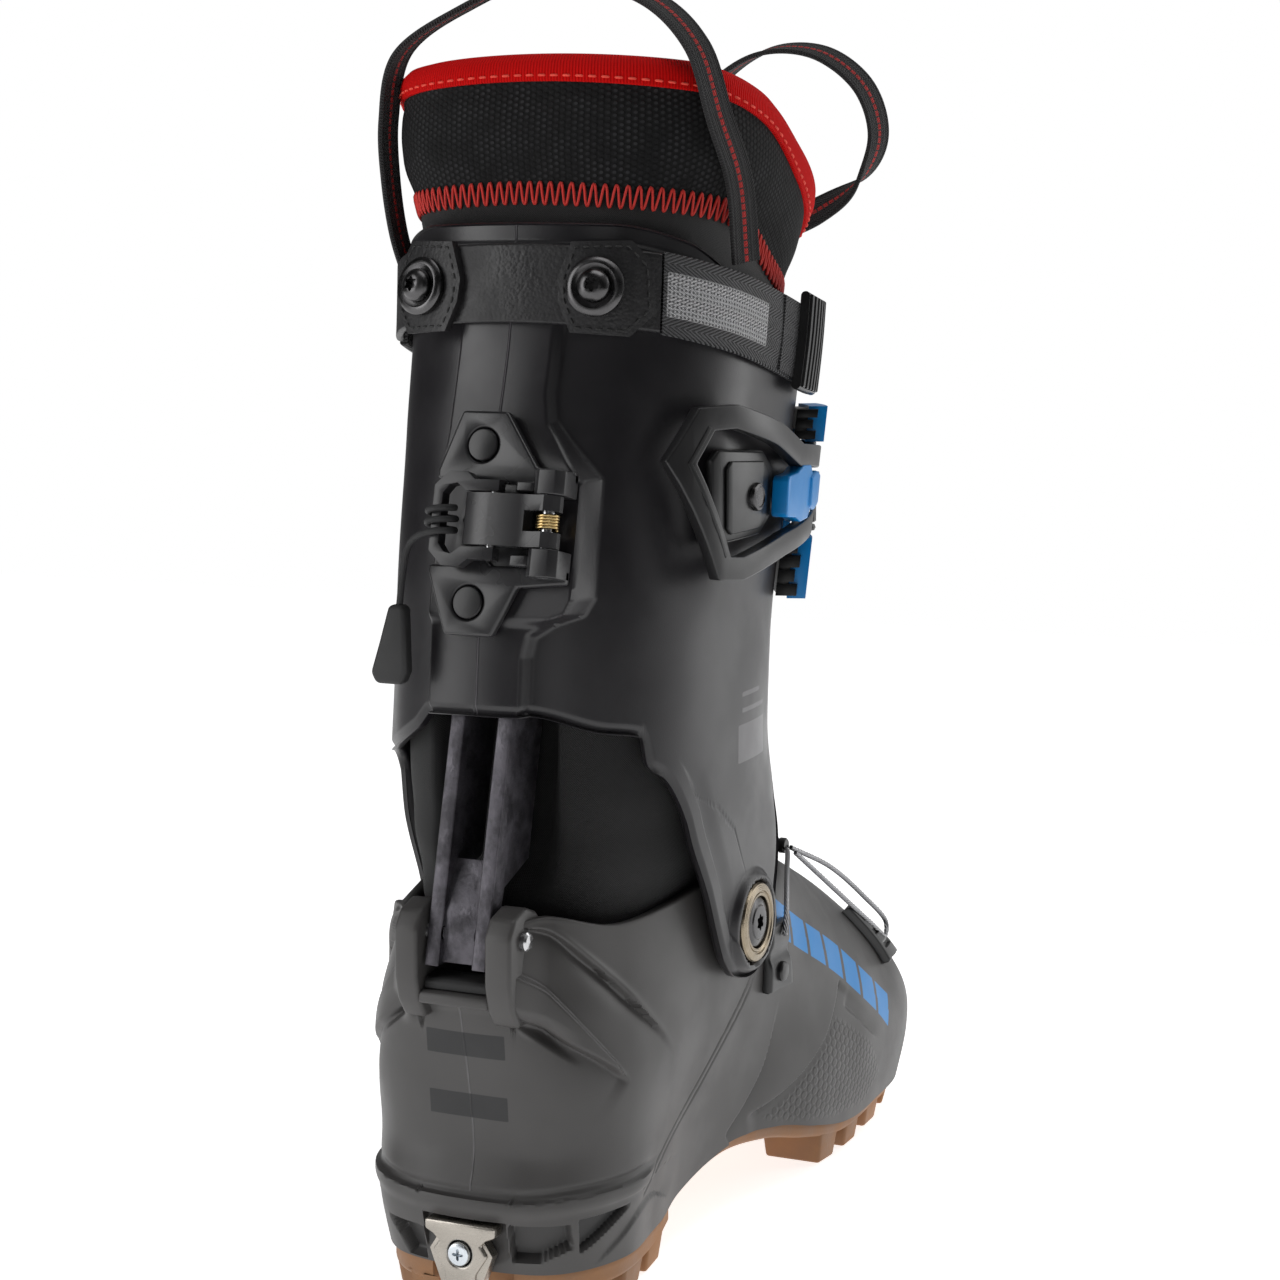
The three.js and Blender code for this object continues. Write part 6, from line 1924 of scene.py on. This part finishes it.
def make_heel_fittings():
    outline = [(-141.4, 99.4), (-141.4, 101.6), (-140.4, 102.6), (-134, 103.6), (-134, 99.4)]
    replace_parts(prism("heel_pad_rubber", outline, -10.6, 10.6, along_x, "rubber", "shell", 0.4), "heel_pad")
    plate = [(-11.6, 26.4), (-11.6, 29.6), (11.6, 29.6), (11.6, 26.4), (8.4, 24.9), (6.9, 23.4), (9.1, 20.3),
             (5, 14), (5, 9.5), (-5, 9.5), (-5, 14), (-9.1, 20.3), (-6.9, 23.4), (-8.4, 24.9)]
    wings = [(-10.4, 20.3), (-7.9, 24.2), (7.9, 24.2), (10.4, 20.3), (6.6, 10.2), (-6.6, 10.2)]
    pieces = []
    for name, outline, low, high, bevel in (("heel_insert_plate", plate, -141.2, -135.5, 0.8),
                                            ("wings", wings, -140.0, -136.4, 0.9)):
        hole = tool_cylinder([0, 0, SCREW_Z], [0, 1, 0], 4.0, -150, -130)
        pieces.append(prism(name, outline, low, high, along_y, "steel", "shell", bevel, [hole]))
    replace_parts(join_pieces(*pieces), "heel_insert")
    head = [(0, 135.5), (3.6, 135.5), (3.6, 141.3), (3.3, 141.9), (2.5, 142.15), (0, 142.2)]
    screw = driven_head("heel_screw_head", head, [0, 0, SCREW_Z], [0, -1, 0], "zinc", "shell", 48,
                        star(1.25, 4, 0.5), 140.4)
    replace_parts(screw, "heel_insert_screw")


def make_toe_sockets():
    profile = [(0, 0.2), (4.2, 0.2), (4.2, 5.9), (3.9, 6.4), (3.3, 6.4), (2.7, 5.4), (0, 3.4)]
    for (side, label), x in zip(SIDES, (22.8, -26.8)):
        socket = lathe("toe_socket_" + label, profile, [x, 133, 21], [side, 0, 0], "pin", "shell", 40)
        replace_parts(socket, "toe_insert_" + label)


def make_pivot(side, label):
    """Brass-tone ring, star-drive bolt and inner nut of one ankle hinge."""
    outer = 51.9 if side > 0 else 51.9 * MEDIAL_ARM_SCALE
    origin, axis = [0, PIVOT[1], PIVOT[2]], [side, 0, 0]
    ring = [(8.4, 0), (12.4, 0), (12.6, 0.4), (12.6, 1.3), (12.2, 1.9), (10.9, 2.4), (10.1, 2.4), (9.9, 1.9),
            (9.5, 1.9), (9.3, 2.2), (8.4, 2.0)]
    washer = lathe("pivot_ring_" + label + "_turned", [(r, outer + h) for r, h in ring], origin, axis, "brass",
                   "cuff", 96)
    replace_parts(washer, "pivot_ring_" + label)
    head = [(4.2, 0), (7.4, 0), (7.9, 0.5), (7.9, 1.2), (7.2, 1.7), (5.6, 1.9), (5.2, 2.3), (4.4, 2.4),
            (0, 2.4)]
    profile = [(0, 38.6), (4.2, 38.6)] + [(r, outer + h) for r, h in head]
    bolt = driven_head("pivot_bolt_" + label + "_head", profile, origin, axis, "dark_metal", "shell", 72,
                       star(2.3), outer + 0.7)
    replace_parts(bolt, "pivot_bolt_" + label)
    nut = prism("pivot_nut_" + label + "_hex", polygon_points(7, 6), 38.4, 40.9, axis_frame(origin, axis),
                "pin", "shell", 0.5, [tool_cylinder(origin, axis, 4.5, 30, 60)])
    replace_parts(nut, "pivot_nut_" + label)


make_bar()
make_heel_fittings()
make_toe_sockets()
for side, label in SIDES:
    make_pivot(side, label)


# ------------------------------------------------------------------ outsoles
def sole_edges(inset, v=0.3):
    """Half widths of the sole at a given y: functions for the lateral and the medial edge."""
    u = np.linspace(0, 1, 1201)[:-1]
    p = SHELL.offset(u, np.full(len(u), v), -inset)
    rear, front = int(np.argmin(p[:, 1])), int(np.argmax(p[:, 1]))
    if rear > front:
        rear -= len(p)
    lateral = p[np.arange(rear, front + 1) % len(p)]
    medial = p[np.arange(front, rear + len(p) + 1) % len(p)][::-1]
    return (lambda y: np.interp(y, lateral[:, 1], lateral[:, 0]), lambda y: np.interp(y, medial[:, 1],
                                                                                      medial[:, 0]),
            float(p[:, 1].min()), float(p[:, 1].max()))


def sole_slab(name, start, end, thickness, inset):
    """Flat part of a sole between two lengths, and the functions of its two edges."""
    right, left, rear, toe = sole_edges(inset)
    start, end = max(start, rear), min(end, toe)
    t = np.linspace(0, 1, 120)
    y = start + (end - start) * (t if start > rear and end < toe else (1 - np.cos(np.pi * t)) / 2)
    y[0], y[-1] = y[0] + 0.02, y[-1] - 0.02
    rows = []
    for at in y:
        x1, x0 = float(right(at)), float(left(at))
        top = float(SOLE_LINE(at))
        r = min(1.6, (x1 - x0) / 2 * 0.9)
        low = top - thickness
        section = [(x1, top), (x1, top - 1), (x1 + 0.25, top - 1.8), (x1, top - 2.6)]
        section += [(x1 - r + r * math.cos(a), low + r - r * math.sin(a)) for a in np.radians([0, 30, 60, 90])]
        section += [(lerp(x1 - r, x0 + r, s), low) for s in (0.25, 0.5, 0.75)]
        section += [(x0 + r - r * math.cos(a), low + r - r * math.sin(a)) for a in np.radians([90, 60, 30, 0])]
        section += [(x0, top - 2.6), (x0 - 0.25, top - 1.8), (x0, top - 1), (x0, top)]
        section += [(lerp(x0, x1, s), top) for s in (0.33, 0.66)]
        rows.append([(x, at, z) for x, z in section])
    grid = np.array(rows)
    faces = tube_faces(*grid.shape[:2])
    tread = new_object(name, grid.reshape(-1, 3), faces, "gum", "shell", 45)
    return fix_normals(tread), right, left


def lug(x0, x1, y0, y1, low, high, right, left):
    """Tread block with sloping sides; an outer side follows the sole's edge."""
    def corner(x, y):
        if x > 90:
            return float(right(y))
        if x < -90:
            return float(left(y))
        return x

    top = [(corner(x0, y0), y0), (corner(x1, y0), y0), (corner(x1, y1), y1), (corner(x0, y1), y1)]
    middle = np.mean(top, axis=0)
    bottom = [tuple(np.array(q) + (middle - q) / np.linalg.norm(middle - q) * 1.6) for q in top]
    points = [(x, y, high(y)) for x, y in top] + [(x, y, low) for x, y in bottom]
    block = fix_normals(new_object("lug", points, prism_faces(4), "gum", "shell", 40))
    return bevelled(block, 1.1, 3, 25, 50)


def make_outsoles():
    heel, right, left = sole_slab("heel_tread", -150, -66, 7, 1.2)
    boolean(heel, [tool_prism(rectangle(-13.6, 13.6, -160, -128), -5, 40, along_z)])
    finish_mesh(heel.data, 45)
    top = lambda y: float(SOLE_LINE(y)) - 5.5
    blocks = [heel]
    for y, length, inner in ((-137, 13, 17), (-117, 14, 17), (-97, 14, 17), (-77.5, 15, 11)):
        y0, y1 = max(y - length / 2, -133), y + length / 2
        blocks.append(lug(inner, 99, y0, y1, 0.05, top, right, left))
        blocks.append(lug(-99, -inner, y0, y1, 0.05, top, right, left))
    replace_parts(join_pieces(*blocks), "outsole_heel")
    front, right, left = sole_slab("front_tread", -60, 150, 5, 3.5)
    blocks = [front]
    top = lambda y: float(SOLE_LINE(y)) - 3.5
    for y, length, low, centre in ((-8, 11, 14, False), (14, 12, 6.5, False), (40, 13, 0.05, False),
                                   (61, 13, 0.05, True), (84, 14, 0.6, False), (105, 12, 2.5, True),
                                   (124, 12, 6, False)):
        y0, y1 = y - length / 2, y + length / 2
        if low < 6.4 or y > 100:
            blocks.append(lug(24, 99, y0, y1, low, top, right, left))
            blocks.append(lug(-99, -24, y0, y1, low, top, right, left))
        if centre:
            blocks.append(lug(-15, 15, y0, y1, low, top, right, left))
    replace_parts(join_pieces(*blocks), "outsole_front")


make_outsoles()


# ------------------------------------------------------------------ instep closure
CABLE_REAR = [(27.4, 46.8, 107.2), (33, 34, 108.6), (41.5, 12, 106.5), (48.6, -6, 97.5), (50, -10.5, 92)]
CABLE_FRONT = [(27.4, 51, 107), (33.5, 74, 96), (38.4, 95, 81.5), (43.2, 106, 70), (44.6, 101.5, 66),
               (42.6, 91, 73), (37.5, 68, 89.5), (30, 48.9, 105.8)]


INSTEP_PIN = [-24, 0, 114.4]


def shell_patch(name, u0, u1, v0, v1, near, far, shape=None, edge=0.9):
    """Plate lying on the lower shell between two positions round it and two ring heights."""
    rows, columns = 50, 36
    uu, vv = np.meshgrid(np.linspace(u0, u1, columns), np.linspace(v0, v1, rows))
    s, t = (uu - u0) / (u1 - u0), (vv - v0) / (v1 - v0)
    u, v = uu.ravel(), vv.ravel()
    rim = np.minimum(np.minimum(s, 1 - s) * 10, np.minimum(t, 1 - t) * 26).ravel()
    top = far - edge * (1 - np.sqrt(np.clip(1 - (1 - np.clip(rim / edge, 0, 1)) ** 2, 0, 1)))
    if shape:
        top = top + shape(s.ravel(), t.ravel())
    outer, inner = SHELL.offset(u, v, top), SHELL.offset(u, v, near)
    points = np.concatenate([outer, inner])
    faces = thick_sheet_faces(rows, columns)
    return fix_normals(new_object(name, points, faces, "black", "shell", 45))


def make_cables():
    for name, line, node in (("rear_cable_strand", CABLE_REAR, "cable_rear"),
                             ("front_cable_strand", CABLE_FRONT, "cable_front")):
        centre = resample(line, 240)
        strand = sweep(name, centre, star(0.8, 6, 0.13, 36), tube_side(centre), "cable", "shell", 80,
                       twist=0.55)
        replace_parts(strand, node)


def guide_slots(s, t):
    """Slots across the cable guide that leave its two edges standing."""
    return -1.6 * smoothstep(np.cos(8 * np.pi * t), 0.5, 0.85) * smoothstep(np.minimum(s, 1 - s), 0.12, 0.22)


def hook_waist(s, t):
    return -1.3 * np.exp(-((t - 0.52) / 0.12) ** 2)


def make_cable_ends():
    """Guide and hook plates on the shell, the rivet of the hook, and the ferrule in the lever."""
    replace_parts(shell_patch("cable_guide_plate", 0.398, 0.428, 2.75, 4.05, 0.2, 3.4, guide_slots),
                "cable_guide")
    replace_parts(shell_patch("cable_hook_plate", 0.252, 0.274, 3.2, 4.35, 0.2, 3.2, hook_waist), "cable_hook")
    u, v = np.array([0.2625]), np.array([3.5])
    profile = [(0, 2.6), (3.3, 2.6), (3.3, 4.0), (3.0, 4.4), (2.4, 4.6), (0, 4.7)]
    lathe("cable_hook_rivet", profile, SHELL.point(u, v)[0], SHELL.normal(u, v)[0], "black", "shell", 40)
    ferrule = [(0, 20.9), (2.3, 20.9), (2.7, 21.4), (2.7, 23.2), (2.35, 23.5), (2.35, 24.2), (2.7, 24.5),
               (2.7, 26.3), (2.3, 26.8), (0, 26.8)]
    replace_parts(lathe("cable_ferrule_turned", ferrule, [0, 48.6, 108], [1, 0, 0], "black", "instep_lever", 40),
                "cable_ferrule")


def make_instep_lever():
    outline = [(20.5, 106.8), (20.5, 110), (6, 113.4), (-8, 115), (-24, 116.6), (-25.6, 114.5), (-24, 112.4),
               (-8, 111.8), (6, 110.2)]
    handle = prism("instep_lever_handle", outline, 43.6, 53.4, along_y, "frame", "instep_lever", 0.8)
    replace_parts(handle, "instep_lever")
    pieces = [shell_patch("instep_base_plate", 0.612, 0.668, 4.9, 5.6, 0.2, 4.4)]
    cheek = [(-27.4, 105.6), (-27.4, 115), (-24, 117.4), (-21, 115), (-21, 105.6)]
    for y in (41.0, 53.6):
        hole = tool_cylinder(INSTEP_PIN, [0, 1, 0], 1.5, 30, 70)
        pieces.append(prism("cheek", cheek, y, y + 2.4, along_y, "black", "shell", 0.5, [hole]))
    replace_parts(join_pieces(*pieces), "instep_base")
    pin = lathe("instep_pin_turned", pin_profile(1.3, 40.9, 56, 0.3), INSTEP_PIN, [0, 1, 0], "pin", "shell", 24)
    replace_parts(pin, "instep_pin")


GAITER_HALF = smooth_table([(-20, 37.5), (0, 28.5), (20, 19.5), (42, 11.5), (58, 3.5)])
GAITER_EDGE = smooth_table([(-20, 113), (20, 109.5), (42, 102), (58, 95.5)])
GAITER_RIDGE = smooth_table([(-20, 119), (5, 118), (25, 110.5), (42, 103.5), (58, 96)])


def make_gaiter():
    rows, columns = 90, 61
    y, s = np.meshgrid(np.linspace(-18, 57, rows), np.linspace(-1, 1, columns), indexing="ij")
    x = s * GAITER_HALF(y) * np.where(s < 0, medial_scale(y), 1)
    z = GAITER_RIDGE(y) - (GAITER_RIDGE(y) - GAITER_EDGE(y)) * s**2
    fold = 0.45 * np.sin(y * 0.42 + 3 * s) * np.exp(-((y + 4) / 22) ** 2) * (1 - s**2)
    top = np.stack([x, y, z + fold], axis=-1).reshape(-1, 3)
    cover = new_object("instep_gaiter_film", np.concatenate([top, top - [0, 0, 1.2]]),
                       thick_sheet_faces(rows, columns), "gaiter", "shell", 60)
    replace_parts(fix_normals(cover), "instep_gaiter")


make_cables()
make_cable_ends()
make_instep_lever()
make_gaiter()

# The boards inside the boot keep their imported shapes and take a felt-like finish.
felt = knit_material("insole_board", (0.05, 0.05, 0.055))
for node in ("boot_board", "footbed"):
    for slot_entry in frame["nodes"][node].material_slots:
        slot_entry.material = felt


# ------------------------------------------------------------------ studio
AMBIENT = (0.04, 0.52)
BACKDROP = (0.35, 0.9, 0.25)
FLOOR_HALF, FLOOR_GLOW = 1.4, 0.78
# Name, place, aim, size in metres and power in watts of each light, from the middle of the part.
LIGHTS = (
    ("left", (-1.05, -1.15, 0.65), (0, -0.02, 0.2), (0.8, 1.5), 12),
    ("right", (1.2, 1.2, 0.6), (0, 0, 0.15), (0.7, 1.4), 7),
    ("top", (0.2, 0.0, 1.7), (0, 0, 0.2), (1.1, 1.1), 9),
    ("front", (0.6, -1.6, 0.35), (0, -0.1, 0.1), (0.5, 0.5), 0.7),
)


def make_floor(middle, height):
    bm = bmesh.new()
    bmesh.ops.create_grid(bm, x_segments=8, y_segments=8, size=FLOOR_HALF)
    mesh = bpy.data.meshes.new("floor")
    bm.to_mesh(mesh)
    bm.free()
    floor = bpy.data.objects.new("floor", mesh)
    floor.location = (middle.x, middle.y, height)
    bpy.context.scene.collection.objects.link(floor)
    g = Graph("floor_paper", (0.9, 0.9, 0.9), 0.9)
    g.mottle(g.noise(3, 3), 0.02)
    g.set("Emission Color", (1, 1, 1, 1))
    g.set("Emission Strength", FLOOR_GLOW)
    mesh.materials.append(g.done())


def make_world():
    """Surroundings with a bright and a dark side; the camera itself sees plain white."""
    world = bpy.data.worlds.new("studio")
    world.use_nodes = True
    tree = world.node_tree
    background = tree.nodes["Background"]
    background.inputs["Color"].default_value = (1, 1, 1, 1)
    facing = tree.nodes.new("ShaderNodeVectorMath")
    facing.operation = "DOT_PRODUCT"
    facing.inputs[1].default_value = BACKDROP
    tree.links.new(tree.nodes.new("ShaderNodeTexCoord").outputs["Generated"], facing.inputs[0])
    glow = tree.nodes.new("ShaderNodeMapRange")
    levels = {"From Min": 0.2, "From Max": 0.95, "To Min": AMBIENT[0], "To Max": AMBIENT[1]}
    for socket, value in levels.items():
        glow.inputs[socket].default_value = value
    tree.links.new(facing.outputs["Value"], glow.inputs["Value"])
    seen = tree.nodes.new("ShaderNodeMapRange")
    seen.inputs["To Max"].default_value = 1.0
    tree.links.new(glow.outputs[0], seen.inputs["To Min"])
    tree.links.new(tree.nodes.new("ShaderNodeLightPath").outputs["Is Camera Ray"], seen.inputs["Value"])
    tree.links.new(seen.outputs[0], background.inputs["Strength"])
    bpy.context.scene.world = world
    bpy.context.scene.view_settings.view_transform = "Standard"


def make_light(name, place, aim, size, power, origin):
    data = bpy.data.lights.new("light_" + name, "AREA")
    data.shape = "RECTANGLE"
    data.size, data.size_y = size
    data.energy = power
    light = bpy.data.objects.new("light_" + name, data)
    bpy.context.scene.collection.objects.link(light)
    light.location = Vector(place) + origin
    direction = Vector(aim) + origin - light.location
    light.rotation_euler = direction.to_track_quat("-Z", "Y").to_euler()


def make_studio():
    low, high = Vector(CAD_BOX[0]), Vector(CAD_BOX[1])
    middle = (low + high) / 2
    make_floor(middle, low.z - 0.0004)
    make_world()
    for light in LIGHTS:
        make_light(*light, Vector((middle.x, middle.y, 0)))


make_studio()
